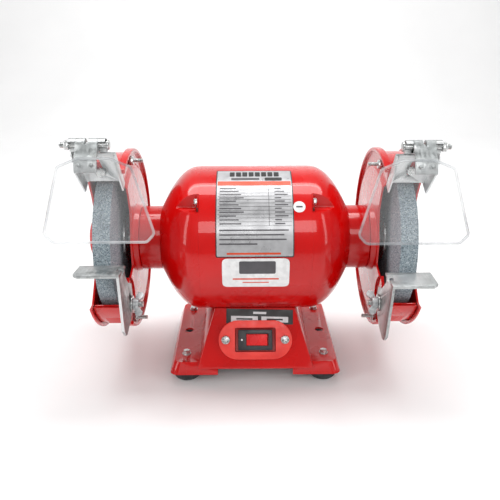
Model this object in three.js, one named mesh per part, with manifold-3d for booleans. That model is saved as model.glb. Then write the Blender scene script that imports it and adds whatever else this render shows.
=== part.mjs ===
// Double-ended bench grinder: two 150 mm wheels on one motor shaft, each in a steel guard with an eye
// shield, a spark deflector and a tool rest, on a pressed base with a rocker switch.
//
// Units are millimetres. +X runs along the shaft to the right, +Y to the back, +Z up. Every size below
// is measured from the middle of the shaft; the finished group is lifted so that its feet stand on Z = 0.

import * as THREE from 'three';
import { mergeVertices } from 'three/addons/utils/BufferGeometryUtils.js';
import Module from 'manifold-3d';

const wasm = await Module();
wasm.setup();

// ---------------------------------------------------------------- driving dimensions

const GAP = 0.3;                  // between pieces that touch on the real machine
const RUNNING_CLEARANCE = 0.1;    // radial, between the shaft and its bearings
const BIG_ROUND = 28;             // sides of motor, guard and wheel
const MIDDLE_ROUND = 16;          // sides of flanges, bearings and windings
const SMALL_ROUND = 12;           // sides of bolts, washers and feet

// motor
const MOTOR_RADIUS = 71.2;
const MOTOR_WALL = 2.0;
const BARREL_HALF = 51.0;         // the seams between barrel and end bells
const NECK_RADIUS = 31.8;
const NECK_START = 91.0;
const NECK_END = 111.0;
const SHOULDER = [                // end bell, as shares: of the way from seam to neck, of the drop in radius
  [0.19, 0.977], [0.34, 0.909], [0.47, 0.807], [0.625, 0.65], [0.75, 0.462], [0.875, 0.259], [0.96, 0.081],
];
const BELL_WALL = 3.0;
const VENT_END = 76.0;            // the vent pockets run from the seam to here
const VENT_BACK = MOTOR_RADIUS - 30.2;      // depth coordinate of a pocket's upright wall
const VENT_FLOOR = MOTOR_RADIUS - 26.2;     // height of a pocket's ledge
const VENT_WALL = 2.0;

// motor inside
const STATOR_HALF = 28.0;
const STATOR_SLOTS = 12;
const ROTOR_RADIUS = 33.5;
const AIR_GAP = 0.6;
const WINDING_LENGTH = 18.0;
const WINDING_OUTER = MOTOR_RADIUS - 14.2;

// shaft line
const JOURNAL_RADIUS = 7.5;
const SPINDLE_RADIUS = 6.35;
const BEARING_RADIUS = 17.5;
const BEARING_WIDTH = 11.0;
const SHAFT_HOLE_RADIUS = 9.5;    // where the shaft leaves neck and guard
const WHEEL_RADIUS = 75.0;
const WHEEL_WIDTH = 16.0;
const WHEEL_INNER_FACE = 128.8;
const FLANGE_RADIUS = 24.0;
const FLANGE_THICKNESS = 4.5;
const WHEEL_NUT_FLATS = 19.0;
const WHEEL_NUT_HEIGHT = 7.0;

// A place of [depth, height] that keeps its distance from the wheel: degrees up from straight ahead,
// and how far outside the wheel's rim it lies.
const offWheel = (degrees, beyond) => [
  -(WHEEL_RADIUS + beyond) * Math.cos(THREE.MathUtils.degToRad(degrees)),
  (WHEEL_RADIUS + beyond) * Math.sin(THREE.MathUtils.degToRad(degrees)),
];

// wheel guard
const GUARD_SHEET = 1.8;
const PLATE_FACE = 117.0;         // motor side of the guard's inner plate
const PLATE_GROOVE = 120.0;       // ring recess that takes the cover nuts
const GROOVE_INNER = WHEEL_RADIUS;
const BAND_RADIUS = WHEEL_RADIUS + 10;
const RIM_RADIUS = BAND_RADIUS + 3.8;
const RIM_START = 117.2;
const RIM_END = 124.3;
const COVER_FACE = 149.5;         // where the cover meets the band
const COVER_RIM_DEPTH = 2.5;
const COVER_BULGE = 10.0;         // how far the cover's middle stands out, over the wheel nut
const COVER_BULGE_RADIUS = 18.0;
const COVER_BULGE_SLOPE = 6.0;    // radial width of the bulge's shoulder
const COVER_BOLT_CIRCLE = WHEEL_RADIUS + 5;
const COVER_BOLT_RADIUS = 2.0;
const COVER_BOLT_HOLE = COVER_BOLT_RADIUS + 0.36;
const COVER_NUT_FLATS = 8.0;
const COVER_NUT_HEIGHT = 4.3;
const COVER_BOLT_END = 106.0;
const DRILL_REACH = 15.0;         // how far a hole is drilled to each side of the plate's face
const MOUTH_TOP = offWheel(65.66, 17.20);          // where the mouth starts on the rim
const MOUTH_EDGE = [                               // and how it runs down to the lip
  offWheel(61.80, 3.29), offWheel(60.49, -14.10), offWheel(54.16, -30.59), offWheel(33.69, -38.94),
  offWheel(9.59, -39.00), offWheel(-24.26, -36.06), offWheel(-22.20, -22.08), offWheel(-28.98, -0.70),
];
const LIP_TOP = offWheel(-29.74, 5.62);            // the flat lip below the mouth, top and bottom edge
const LIP_BOTTOM = offWheel(-48.26, 12.11);
const LIP_SHORT_END = 140.0;      // the lip's lower edge stops here, its upper edge at the cover

// tool rest
const REST_SHEET = 2.4;
const REST_LEG_FACE = 118.7;      // side of the leg that lies on the guard
const REST_END = 156.5;
const REST_CLEARANCE = 2.2;       // from the wheel to the plate that the work rests on
const REST_BACK = -WHEEL_RADIUS - REST_CLEARANCE;
const REST_DEPTH = 28.0;
const REST_TOP = -5.0;            // height of the plate that the work rests on
const REST_PIVOT = offWheel(-33.27, 1.55);         // clamp bolt
const REST_SLOT = 21.0;           // length of the slot in the leg
const REST_SLOT_SHARE = 0.72;     // part of the slot's travel that lies below the bolt
const REST_SLOT_LEAN = 28.0;      // degrees that the slot leans forward of upright
const REST_BOLT_RADIUS = 3.0;
const REST_BOLT_FLATS = 10.0;
const REST_BOLT_HEAD = 3.0;
const REST_SLOT_CLEARANCE = 0.4;
const REST_PAD_RADIUS = 25.0;     // flat pad on the guard round the clamp bolt
const WASHER_RADIUS = 8.0;
const WASHER_THICKNESS = 1.4;
const WING_HUB_RADIUS = 5.5;
const WING_HUB_HEIGHT = 5.0;
const WING_SPAN = 13.0;
const WING_REACH = 9.0;           // how far the ears stand off the washer
const WING_SHEET = 2.2;

// spark deflector, eye shield and their hinge
const DEFLECTOR_SHEET = 1.5;
const DEFLECTOR_FOOT = offWheel(60.74, 5.81);      // its lower edge
const DEFLECTOR_HEAD = offWheel(66.20, 31.56);     // where it curls into the hinge
const TONGUE_TOP = offWheel(66.15, 9.08);          // the tongue of the band that its tab grows from
const TONGUE_FOOT = offWheel(62.76, 9.13);
const DEFLECTOR_LOW = [118.0, 153.0];       // its two sides at the foot, along the shaft
const DEFLECTOR_HIGH = [123.0, 162.0];      // and at the head
const DEFLECTOR_CHEEK = 14.0;     // depth of the pointed outer cheek
const INNER_FOLD = 11.0;          // depth of the fold on the inner side
const DEFLECTOR_TRAVEL = 10.0;    // length that the slot leaves for sliding
const DEFLECTOR_BOLT_RADIUS = 2.5;
const HINGE = offWheel(66.68, 38.69);
const HINGE_RADIUS = 2.5;
const HINGE_EYE_RADIUS = 6.0;
const HINGE_CLEARANCE = 0.3;
const HINGE_HEAD = 126.0;         // inner end of the hinge bolt
const HINGE_INSET = 7.0;          // from the deflector's inner side to the first hinge loop
const HINGE_TIP = 170.5;
const SHIELD_TOP = offWheel(58.26, 39.06);
const SHIELD_FOOT = offWheel(18.14, 16.55);
const SHIELD_SHEET = 2.0;
const SHIELD_MIDDLE = 136.2;      // along the shaft, of the lower edge
const SHIELD_TOP_MIDDLE = 141.4;  // along the shaft, of the upper edge
const SHIELD_TOP_HALF = 14.0;
const SHIELD_SHOULDER_HALF = 32.5;
const SHIELD_SHOULDER_DROP = 7.5;
const SHIELD_FOOT_HALF = 48.5;
const SHIELD_CORNER = 8.0;
const BRACKET_SHEET = 1.6;
const BRACKET_HALF = 12.0;
const BRACKET_LAP = 13.0;         // how far the bracket lies on the shield

// base
const WING_TOP = -107.8;
const BASE_EDGE = -120.0;         // lower edge of the pressed base
const FLOOR = -132.0;             // underside of the feet
const BASE_WALL = 2.0;
const BASE_HALF_WIDTH = 84.5;
const BASE_HALF_DEPTH = 66.5;
const BASE_DRAFT = 4.5;           // how far the skirt leans in over its height
const BASE_CORNER = 9.0;
const HOUSING_LOW = [57.0, 68.0]; // half width and half depth of the switch housing at HOUSING_FOOT
const HOUSING_FOOT = -112.0;
const HOUSING_HIGH = [39.5, 38.4];
const MOTOR_SEAT = 10.4;          // how far the housing reaches up over the motor's lowest line
const HOUSING_TOP = MOTOR_SEAT - MOTOR_RADIUS;
const BOLT_HOLE = [70.0, 4.5];    // bench bolt holes: distance from the middle, radius
const FOOT_PLACE = [68.8, 46.7];
const FOOT_RADIUS = 13.0;
const FOOT_NECK = 8.0;
const FOOT_HEIGHT = 12.5;
const FOOT_SCREW_HOLE = 2.6;
const FRONT_NOTCH = [37.0, 6.0];  // half width and height of the notch in the skirt

// switch, on the leaning front of the housing
const SWITCH_ALONG = 28.0;        // from the housing's foot up the slope to the switch
const SWITCH_PLATE = [72.0, 38.0, 4.0];
const SWITCH_RECESS = [40.0, 23.6, 2.4];
const BEZEL = [33.5, 20.0, 2.6];
const SWITCH_BODY = [28.0, 15.0, 15.0];
const ROCKER = [20.7, 10.8];
const ROCKER_TILT = 10.0;         // degrees to each side of the middle
const ROCKER_OFFSET = 2.0;        // the rocker sits right of the bezel's middle
const SWITCH_SCREW_PLACE = 29.0;
const SWITCH_SCREW_RADIUS = 1.7;
const GLAND_THREAD = 8.0;
const GLAND_PLACE = [34.0, 20.0]; // across, and up the rear slope

// ---------------------------------------------------------------- materials

const paint = () => new THREE.MeshStandardMaterial({ color: 0xc81e1a, roughness: 0.25, metalness: 0.1 });
const coral = () => new THREE.MeshStandardMaterial({ color: 0xf0463c, roughness: 0.4, metalness: 0 });
const zinc = () => new THREE.MeshStandardMaterial({ color: 0xa6abab, roughness: 0.4, metalness: 0.9 });
const steel = () => new THREE.MeshStandardMaterial({ color: 0x8e9294, roughness: 0.35, metalness: 1 });
const copper = () => new THREE.MeshStandardMaterial({ color: 0xa8602c, roughness: 0.5, metalness: 0.8 });
const grit = () => new THREE.MeshStandardMaterial({ color: 0x8b9aa1, roughness: 0.95, metalness: 0 });
const rubber = () => new THREE.MeshStandardMaterial({ color: 0x3a3f41, roughness: 0.9, metalness: 0 });
const black = () => new THREE.MeshStandardMaterial({ color: 0x2c2c2e, roughness: 0.5, metalness: 0 });
const cream = () => new THREE.MeshStandardMaterial({ color: 0xd8d4c4, roughness: 0.6, metalness: 0 });
const red = () => new THREE.MeshStandardMaterial({ color: 0xd8262a, roughness: 0.35, metalness: 0 });
const clear = () => new THREE.MeshStandardMaterial({ color: 0xe4eaec, roughness: 0.05, metalness: 0,
  transparent: true, opacity: 0.35 });

// ---------------------------------------------------------------- geometry helpers

const X = new THREE.Vector3(1, 0, 0);
const Y = new THREE.Vector3(0, 1, 0);
const Z = new THREE.Vector3(0, 0, 1);
const radians = (degrees) => THREE.MathUtils.degToRad(degrees);

// A lathe's own axis is +Y, an extrusion's is +Z: these lay them along the shaft or upright.
const LATHE_ALONG_X = new THREE.Matrix4().makeBasis(Y, X, Z.clone().negate());
const LATHE_ALONG_Z = new THREE.Matrix4().makeBasis(X, Z, Y.clone().negate());
const EXTRUDE_ALONG_X = new THREE.Matrix4().makeBasis(Y, Z, X);

function toSolid(geometry) {
  const bare = geometry.index ? geometry.toNonIndexed() : geometry.clone();
  bare.deleteAttribute('normal');
  bare.deleteAttribute('uv');
  const merged = mergeVertices(bare, 1e-4);
  return new wasm.Manifold(new wasm.Mesh({
    numProp: 3,
    vertProperties: new Float32Array(merged.attributes.position.array),
    triVerts: new Uint32Array(merged.index.array),
  }));
}

function toGeometry(solid) {
  const mesh = solid.getMesh();
  const geometry = new THREE.BufferGeometry();
  geometry.setAttribute('position', new THREE.BufferAttribute(new Float32Array(mesh.vertProperties), 3));
  geometry.setIndex(new THREE.BufferAttribute(new Uint32Array(mesh.triVerts), 1));
  return geometry;
}

const joined = (parts) => parts.slice(1).reduce((sum, part) => sum.add(part), parts[0]);
const cut = (body, parts) => parts.reduce((rest, part) => rest.subtract(part), body);

function shapeOf(points) {
  return new THREE.Shape(points.map(([a, b]) => new THREE.Vector2(a, b)));
}

// A closed profile of [radius, distance] turned about the shaft line.
function turned(profile, sides = BIG_ROUND, lay = LATHE_ALONG_X) {
  const points = profile.map(([radius, along]) => new THREE.Vector2(radius, along));
  const onAxis = profile[0][0] === 0 && profile[profile.length - 1][0] === 0;
  if (!onAxis) {
    points.push(points[0].clone());
  }
  let solid = toSolid(new THREE.LatheGeometry(points, sides).applyMatrix4(lay));
  if (solid.volume() < 0) {
    points.reverse();
    solid = toSolid(new THREE.LatheGeometry(points, sides).applyMatrix4(lay));
  }
  return solid;
}

// A round bar between two places along the shaft line, at [depth, height].
function bar(radius, start, end, [depth, height] = [0, 0], sides = SMALL_ROUND) {
  const length = end - start;
  const geometry = new THREE.CylinderGeometry(radius, radius, Math.abs(length), sides);
  geometry.applyMatrix4(LATHE_ALONG_X);
  geometry.translate((start + end) / 2, depth, height);
  return toSolid(geometry);
}

const circumradius = (flats) => flats / 2 / Math.cos(Math.PI / 6);
const hexBar = (flats, start, end, place) => bar(circumradius(flats), start, end, place, 6);

// An outline in [depth, height] drawn out along the shaft from start to end.
function sheet(shape, start, end, curveSegments = 12) {
  const geometry = new THREE.ExtrudeGeometry(shape, {
    depth: end - start, bevelEnabled: false, curveSegments,
  });
  geometry.applyMatrix4(EXTRUDE_ALONG_X);
  geometry.translate(start, 0, 0);
  return toSolid(geometry);
}

function block(sizeX, sizeY, sizeZ, [x, y, z]) {
  return toSolid(new THREE.BoxGeometry(sizeX, sizeY, sizeZ).translate(x, y, z));
}

// A straight strip of sheet in the depth-height plane, from one edge to the other.
function stripOutline([depthA, heightA], [depthB, heightB], thickness) {
  const along = new THREE.Vector2(depthB - depthA, heightB - heightA).normalize();
  const side = new THREE.Vector2(-along.y, along.x).multiplyScalar(thickness / 2);
  return shapeOf([
    [depthA - side.x, heightA - side.y], [depthB - side.x, heightB - side.y],
    [depthB + side.x, heightB + side.y], [depthA + side.x, heightA + side.y],
  ]);
}

function roundedOutline(halfWidth, halfDepth, corner) {
  const shape = new THREE.Shape();
  shape.moveTo(halfWidth - corner, -halfDepth);
  shape.absarc(halfWidth - corner, -halfDepth + corner, corner, -Math.PI / 2, 0);
  shape.absarc(halfWidth - corner, halfDepth - corner, corner, 0, Math.PI / 2);
  shape.absarc(-halfWidth + corner, halfDepth - corner, corner, Math.PI / 2, Math.PI);
  shape.absarc(-halfWidth + corner, -halfDepth + corner, corner, Math.PI, Math.PI * 1.5);
  return shape;
}

// An upright block whose plan shrinks from the low half sizes to the high ones.
function tapered(low, high, bottom, top, corner) {
  const geometry = new THREE.ExtrudeGeometry(roundedOutline(1, 1, corner), {
    depth: 1, bevelEnabled: false, curveSegments: 4,
  });
  const position = geometry.attributes.position;
  for (let i = 0; i < position.count; i += 1) {
    const share = position.getZ(i);
    const halfX = THREE.MathUtils.lerp(low[0], high[0], share);
    const halfY = THREE.MathUtils.lerp(low[1], high[1], share);
    position.setXYZ(i, position.getX(i) * halfX, position.getY(i) * halfY,
      THREE.MathUtils.lerp(bottom, top, share));
  }
  return toSolid(geometry);
}

// The mirror image of a right-hand solid, for the left side of the machine.
function mirrored(solid) {
  return solid.mirror([1, 0, 0]);
}

const machine = new THREE.Group();

function add(name, solid, material, parent = machine) {
  const mesh = new THREE.Mesh(toGeometry(solid), material);
  mesh.name = name;
  parent.add(mesh);
  return mesh;
}

// ---------------------------------------------------------------- motor

function motorBarrel() {
  const half = BARREL_HALF - GAP / 2;
  return turned([
    [MOTOR_RADIUS - MOTOR_WALL, -half], [MOTOR_RADIUS, -half],
    [MOTOR_RADIUS, half], [MOTOR_RADIUS - MOTOR_WALL, half],
  ]);
}

function endBell() {
  const seam = BARREL_HALF + GAP / 2;
  const bearingStart = NECK_START;
  const bearingSeat = BEARING_RADIUS + GAP;
  const shoulder = SHOULDER.map(([along, drop]) => [
    THREE.MathUtils.lerp(NECK_RADIUS, MOTOR_RADIUS, drop),
    THREE.MathUtils.lerp(BARREL_HALF, NECK_START, along),
  ]);
  const outside = [
    [MOTOR_RADIUS, seam], ...shoulder,
    [NECK_RADIUS, NECK_START], [NECK_RADIUS, NECK_END],
  ];
  const inside = [
    [SHAFT_HOLE_RADIUS, NECK_END], [SHAFT_HOLE_RADIUS, bearingStart + BEARING_WIDTH + GAP],
    [bearingSeat, bearingStart + BEARING_WIDTH + GAP], [bearingSeat, NECK_START - BELL_WALL],
    ...shoulder.filter(([radius]) => radius > NECK_RADIUS + BELL_WALL).reverse()
      .map(([radius, along]) => [radius - BELL_WALL, along - BELL_WALL * 0.5]),
    [MOTOR_RADIUS - BELL_WALL, seam],
  ];
  const shell = turned([...outside, ...inside]);
  const full = turned([[0, seam], ...outside, [0, NECK_END]]);
  return [-1, 1].reduce((bell, side) => {
    const reach = MOTOR_RADIUS - VENT_BACK;
    const length = VENT_END - seam + 1;
    const middleX = (seam - 1 + VENT_END) / 2;
    const pocket = block(length, reach, MOTOR_RADIUS - VENT_FLOOR,
      [middleX, side * (VENT_BACK + reach / 2), (VENT_FLOOR + MOTOR_RADIUS) / 2]);
    const liner = block(length, reach + VENT_WALL, MOTOR_RADIUS - VENT_FLOOR + VENT_WALL,
      [middleX, side * (VENT_BACK + reach / 2 - VENT_WALL / 2),
        (VENT_FLOOR + MOTOR_RADIUS) / 2 - VENT_WALL / 2]);
    return bell.add(liner.intersect(full)).subtract(pocket);
  }, shell);
}

function statorCore() {
  const bore = ROTOR_RADIUS + AIR_GAP;
  const outline = new THREE.Shape();
  const flatRadius = (MOTOR_RADIUS - MOTOR_WALL) * Math.cos(Math.PI / BIG_ROUND);
  outline.absarc(0, 0, flatRadius - GAP, 0, Math.PI * 2);
  const hole = new THREE.Path();
  const pitch = (Math.PI * 2) / STATOR_SLOTS;
  const slotDepth = 14;
  for (let i = 0; i < STATOR_SLOTS; i += 1) {
    const tooth = [[0.1, bore], [0.5, bore], [0.5, bore + slotDepth], [1, bore + slotDepth]];
    tooth.forEach(([share, radius]) => {
      const angle = (i + share) * pitch;
      hole.lineTo(radius * Math.cos(angle), radius * Math.sin(angle));
    });
  }
  hole.curves.shift();
  outline.holes.push(new THREE.Path(hole.getPoints()));
  return sheet(outline, -STATOR_HALF, STATOR_HALF, BIG_ROUND / 2);
}

function winding() {
  const start = STATOR_HALF + GAP;
  const end = start + WINDING_LENGTH;
  const inner = ROTOR_RADIUS + AIR_GAP + 3;
  const chamfer = 4;
  return turned([
    [inner, start], [WINDING_OUTER, start], [WINDING_OUTER, end - chamfer],
    [WINDING_OUTER - chamfer, end], [inner + chamfer, end], [inner, end - chamfer],
  ], MIDDLE_ROUND);
}

function rotorCore() {
  const half = STATOR_HALF + 2;
  const bore = JOURNAL_RADIUS + GAP;
  return turned([[bore, -half], [ROTOR_RADIUS, -half], [ROTOR_RADIUS, half], [bore, half]], MIDDLE_ROUND);
}

function buildMotor() {
  add('motor_barrel', motorBarrel(), paint());
  const bell = endBell();
  add('end_bell_right', bell, paint());
  add('end_bell_left', mirrored(bell), paint());
  add('stator_core', statorCore(), steel());
  add('winding_right', winding(), copper());
  add('winding_left', mirrored(winding()), copper());
  add('rotor_core', rotorCore(), steel());
}

// ---------------------------------------------------------------- shaft line

const flangeStart = WHEEL_INNER_FACE - GAP - FLANGE_THICKNESS;
const wheelOuterFace = WHEEL_INNER_FACE + WHEEL_WIDTH;
const nutStart = wheelOuterFace + FLANGE_THICKNESS + 2 * GAP;
const shaftEnd = nutStart + WHEEL_NUT_HEIGHT + 2;

function shaft() {
  const chamfer = 1;
  const half = [
    [JOURNAL_RADIUS, flangeStart - GAP], [SPINDLE_RADIUS, flangeStart - GAP],
    [SPINDLE_RADIUS, shaftEnd - chamfer], [SPINDLE_RADIUS - chamfer, shaftEnd], [0, shaftEnd],
  ];
  const other = half.map(([radius, along]) => [radius, -along]).reverse();
  return turned([...other, ...half], MIDDLE_ROUND);
}

function bearing() {
  const start = NECK_START + GAP / 2;
  const end = start + BEARING_WIDTH;
  const inner = (JOURNAL_RADIUS + RUNNING_CLEARANCE) / Math.cos(Math.PI / MIDDLE_ROUND);
  const grooves = [11.0, 14.0];
  const dish = 0.8;
  return turned([
    [inner, start], [grooves[0], start], [grooves[0], start + dish], [grooves[1], start + dish],
    [grooves[1], start], [BEARING_RADIUS, start], [BEARING_RADIUS, end], [inner, end],
  ], MIDDLE_ROUND);
}

function flange(start, recessAtStart) {
  const bore = SPINDLE_RADIUS + GAP;
  const end = start + FLANGE_THICKNESS;
  const recess = 1.0;
  const land = FLANGE_RADIUS - 6;
  const low = [[bore, start + recess], [land, start + recess], [land, start]];
  const high = [[land, end], [land, end - recess], [bore, end - recess]];
  return turned([
    ...(recessAtStart ? low : [[bore, start]]), [FLANGE_RADIUS, start],
    [FLANGE_RADIUS, end], ...(recessAtStart ? [[bore, end]] : high),
  ], MIDDLE_ROUND);
}

function grindingWheel() {
  const bore = SPINDLE_RADIUS + GAP;
  const chamfer = 0.8;
  const end = wheelOuterFace;
  return turned([
    [bore, WHEEL_INNER_FACE], [WHEEL_RADIUS - chamfer, WHEEL_INNER_FACE],
    [WHEEL_RADIUS, WHEEL_INNER_FACE + chamfer], [WHEEL_RADIUS, end - chamfer],
    [WHEEL_RADIUS - chamfer, end], [bore, end],
  ]);
}

function wheelNut() {
  const body = hexBar(WHEEL_NUT_FLATS, nutStart, nutStart + WHEEL_NUT_HEIGHT);
  return body.subtract(bar(SPINDLE_RADIUS + GAP, nutStart - 1, nutStart + WHEEL_NUT_HEIGHT + 1));
}

function buildShaftLine() {
  add('shaft', shaft(), steel());
  const pieces = [
    ['bearing', bearing(), steel],
    ['inner_flange', flange(flangeStart, false), steel],
    ['grinding_wheel', grindingWheel(), grit],
    ['outer_flange', flange(wheelOuterFace + GAP, true), steel],
    ['wheel_nut', wheelNut(), steel],
  ];
  pieces.forEach(([name, solid, material]) => {
    add(`${name}_right`, solid, material());
    add(`${name}_left`, mirrored(solid), material());
  });
}

// ---------------------------------------------------------------- wheel guard

const onBoltCircle = (degrees) => [
  -COVER_BOLT_CIRCLE * Math.cos(radians(degrees)), COVER_BOLT_CIRCLE * Math.sin(radians(degrees)),
];
const outOfReach = RIM_RADIUS * 2;

// What is cut away in front of the guard: the mouth that the wheel looks out of.
function mouth() {
  return shapeOf([
    [-outOfReach, MOUTH_TOP[1]], MOUTH_TOP, ...MOUTH_EDGE, LIP_TOP, [-outOfReach, LIP_TOP[1]],
  ]);
}

const padInside = PLATE_GROOVE + GUARD_SHEET;

// The lip: flat sheet below the mouth, its outer end cut back along a slant.
function lip() {
  const start = PLATE_GROOVE;
  const end = COVER_FACE - GAP;
  const panel = sheet(stripOutline(LIP_TOP, LIP_BOTTOM, GUARD_SHEET), start, end);
  const slope = Math.hypot(LIP_TOP[0] - LIP_BOTTOM[0], LIP_TOP[1] - LIP_BOTTOM[1]);
  const width = end - LIP_SHORT_END;
  const below = -slope - 20;
  const wedge = shapeOf([[width + 1, below], [width + 1, 0], [width, 0], [0, -slope], [0, below]]);
  const corner = new THREE.ExtrudeGeometry(wedge, { depth: 30, bevelEnabled: false });
  corner.translate(LIP_SHORT_END, 0, -15);
  corner.rotateX(Math.PI / 2);
  corner.rotateX(-Math.atan2(LIP_BOTTOM[0] - LIP_TOP[0], LIP_TOP[1] - LIP_BOTTOM[1]));
  corner.translate(0, LIP_TOP[0], LIP_TOP[1]);
  return { panel, corner: toSolid(corner) };
}

// The tab above the mouth that the deflector is clamped to, close behind the deflector's plane, and
// the tongue of the band that it grows from.
function deflectorTab({ deflectorShift }) {
  const geometry = extrudedSheet(shapeOf([
    [slotFoot[0] - 10, 4], [slotFoot[0] + 8, 4], [slotFoot[0] + 8, 18], [slotFoot[0] - 10, 18],
  ]), GUARD_SHEET);
  geometry.translate(0, 0, -(DEFLECTOR_SHEET + GUARD_SHEET) / 2 - GAP);
  const tongueOutline = stripOutline(TONGUE_TOP, TONGUE_FOOT, GUARD_SHEET);
  const tongue = sheet(tongueOutline, slotFoot[0] - 9, slotFoot[0] + 7);
  return layOnDeflector(geometry).add(tongue).translate([deflectorShift, 0, 0]);
}

// The room that the deflector bolt takes in the tab and behind it.
function deflectorDrill({ deflectorShift }) {
  const hole = DEFLECTOR_BOLT_RADIUS + GAP;
  const drill = new THREE.CylinderGeometry(hole, hole, 2 * (deflectorBoltEnd + GAP), SMALL_ROUND);
  drill.rotateX(Math.PI / 2);
  drill.translate(slotFoot[0], slotFoot[1], 0);
  return layOnDeflector(drill).translate([deflectorShift, 0, 0]);
}

function guardPlate(boltPlaces, setting) {
  const boss = NECK_END + GAP;
  const bossRadius = NECK_RADIUS + 0.5;
  const groove = RIM_RADIUS - 3.6;
  const inner = BAND_RADIUS - GUARD_SHEET;
  const dish = turned([
    [SHAFT_HOLE_RADIUS, boss], [bossRadius, boss], [bossRadius + 1.5, PLATE_FACE],
    [GROOVE_INNER - 5, PLATE_FACE], [GROOVE_INNER, PLATE_GROOVE], [groove, PLATE_GROOVE],
    [groove, RIM_START], [RIM_RADIUS - 1.2, RIM_START],
    [RIM_RADIUS, RIM_START + 1.5], [RIM_RADIUS, RIM_END], [BAND_RADIUS, RIM_END],
    [BAND_RADIUS, COVER_FACE - GAP], [inner, COVER_FACE - GAP],
    [inner, PLATE_GROOVE + GUARD_SHEET], [GROOVE_INNER, PLATE_GROOVE + GUARD_SHEET],
    [GROOVE_INNER - 5, PLATE_FACE + GUARD_SHEET], [bossRadius, PLATE_FACE + GUARD_SHEET],
    [bossRadius - 2, boss + GUARD_SHEET], [SHAFT_HOLE_RADIUS, boss + GUARD_SHEET],
  ]);
  const padFace = REST_LEG_FACE + GAP;
  const pad = bar(REST_PAD_RADIUS, padFace, padInside, REST_PIVOT, MIDDLE_ROUND)
    .intersect(bar(RIM_RADIUS, padFace - 1, padInside + 1, [0, 0], BIG_ROUND));
  const clearing = bar(REST_PAD_RADIUS, RIM_START - 5, padFace, REST_PIVOT, MIDDLE_ROUND);
  const { panel, corner } = lip();
  const headRoom = circumradius(REST_BOLT_FLATS) + 1;
  const boltRoom = bar(headRoom, padInside, padInside + REST_BOLT_HEAD + 1.5, REST_PIVOT);
  const drilled = (radius, place, sides) => bar(radius, PLATE_FACE - DRILL_REACH,
    PLATE_FACE + DRILL_REACH, place, sides);
  const bolts = boltPlaces.map((place) => drilled(COVER_BOLT_HOLE, place, 8));
  return cut(dish.subtract(clearing).add(pad), [
    sheet(mouth(), RIM_START - 5, COVER_FACE + 5),
    drilled(REST_BOLT_RADIUS + GAP, REST_PIVOT, SMALL_ROUND),
    ...bolts,
  ]).add(panel).subtract(corner).subtract(boltRoom)
    .add(deflectorTab(setting)).subtract(deflectorDrill(setting));
}

function guardCover(boltPlaces) {
  const face = COVER_FACE + COVER_RIM_DEPTH;
  const inside = face - GUARD_SHEET;
  const inner = RIM_RADIUS - 3;
  const bulgeFoot = COVER_BULGE_RADIUS + COVER_BULGE_SLOPE;
  const disc = turned([
    [0, face + COVER_BULGE], [COVER_BULGE_RADIUS, face + COVER_BULGE], [bulgeFoot, face],
    [RIM_RADIUS - 1.5, face], [RIM_RADIUS, face - 1.2], [RIM_RADIUS, COVER_FACE], [inner, COVER_FACE],
    [inner, inside], [bulgeFoot - 1, inside], [COVER_BULGE_RADIUS - 1, inside + COVER_BULGE],
    [0, inside + COVER_BULGE],
  ]);
  const bolts = boltPlaces.map((place) => bar(COVER_BOLT_HOLE, COVER_FACE - 5, face + 5, place, 8));
  return cut(disc, [sheet(mouth(), COVER_FACE - 5, face + COVER_BULGE + 5), ...bolts]);
}

function coverBolt(place) {
  const seat = PLATE_GROOVE - GAP;
  const headFace = COVER_FACE + COVER_RIM_DEPTH + GAP;
  const chamfer = 0.5;
  return joined([
    bar(COVER_BOLT_RADIUS, COVER_BOLT_END + chamfer, headFace + 1, place, 8),
    hexBar(COVER_NUT_FLATS, seat - COVER_NUT_HEIGHT, seat, place),
    bar(COVER_NUT_FLATS / 2, headFace, headFace + 2.6, place, 8),
  ]);
}

function buildGuards(hand, place, setting) {
  const boltPlaces = setting.boltAngles.map(onBoltCircle);
  add(`guard_plate_${hand}`, place(guardPlate(boltPlaces, setting)), paint());
  add(`guard_cover_${hand}`, place(guardCover(boltPlaces)), paint());
  boltPlaces.forEach((bolt, index) => {
    add(`cover_bolt_${hand}_${index + 1}`, place(coverBolt(bolt)), zinc());
  });
}

// ---------------------------------------------------------------- tool rest

// The leg: a narrow upright at the front, running back at its foot into a slotted boot.
function restLeg() {
  const front = REST_BACK - REST_DEPTH;
  const [depth, height] = REST_PIVOT;
  const under = REST_TOP - REST_SHEET / 2;
  const leg = shapeOf([
    [front, under], [front + 8, height - 18], [front + 14, height - 24.5], [front + 20, height - 26],
    [depth - 3, height - 19.5], [depth + 9, height - 10], [depth + 11.5, height], [depth + 9, height + 12],
    [depth - 6, height + 18], [depth - 12, height + 24], [REST_BACK - 4, REST_TOP - 8],
    [REST_BACK - 4, under],
  ]);
  return sheet(leg, REST_LEG_FACE - REST_SHEET, REST_LEG_FACE);
}

function restSlot() {
  const radius = REST_BOLT_RADIUS + REST_SLOT_CLEARANCE;
  const travel = REST_SLOT - 2 * radius;
  const slot = new THREE.Shape();
  slot.absarc(0, -travel * REST_SLOT_SHARE, radius, Math.PI, Math.PI * 2);
  slot.absarc(0, travel * (1 - REST_SLOT_SHARE), radius, 0, Math.PI);
  const geometry = new THREE.ExtrudeGeometry(slot, {
    depth: REST_SHEET + 2, bevelEnabled: false, curveSegments: 6,
  });
  geometry.rotateZ(radians(REST_SLOT_LEAN));
  geometry.applyMatrix4(EXTRUDE_ALONG_X);
  return toSolid(geometry.translate(REST_LEG_FACE - REST_SHEET - 1, REST_PIVOT[0], REST_PIVOT[1]));
}

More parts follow.
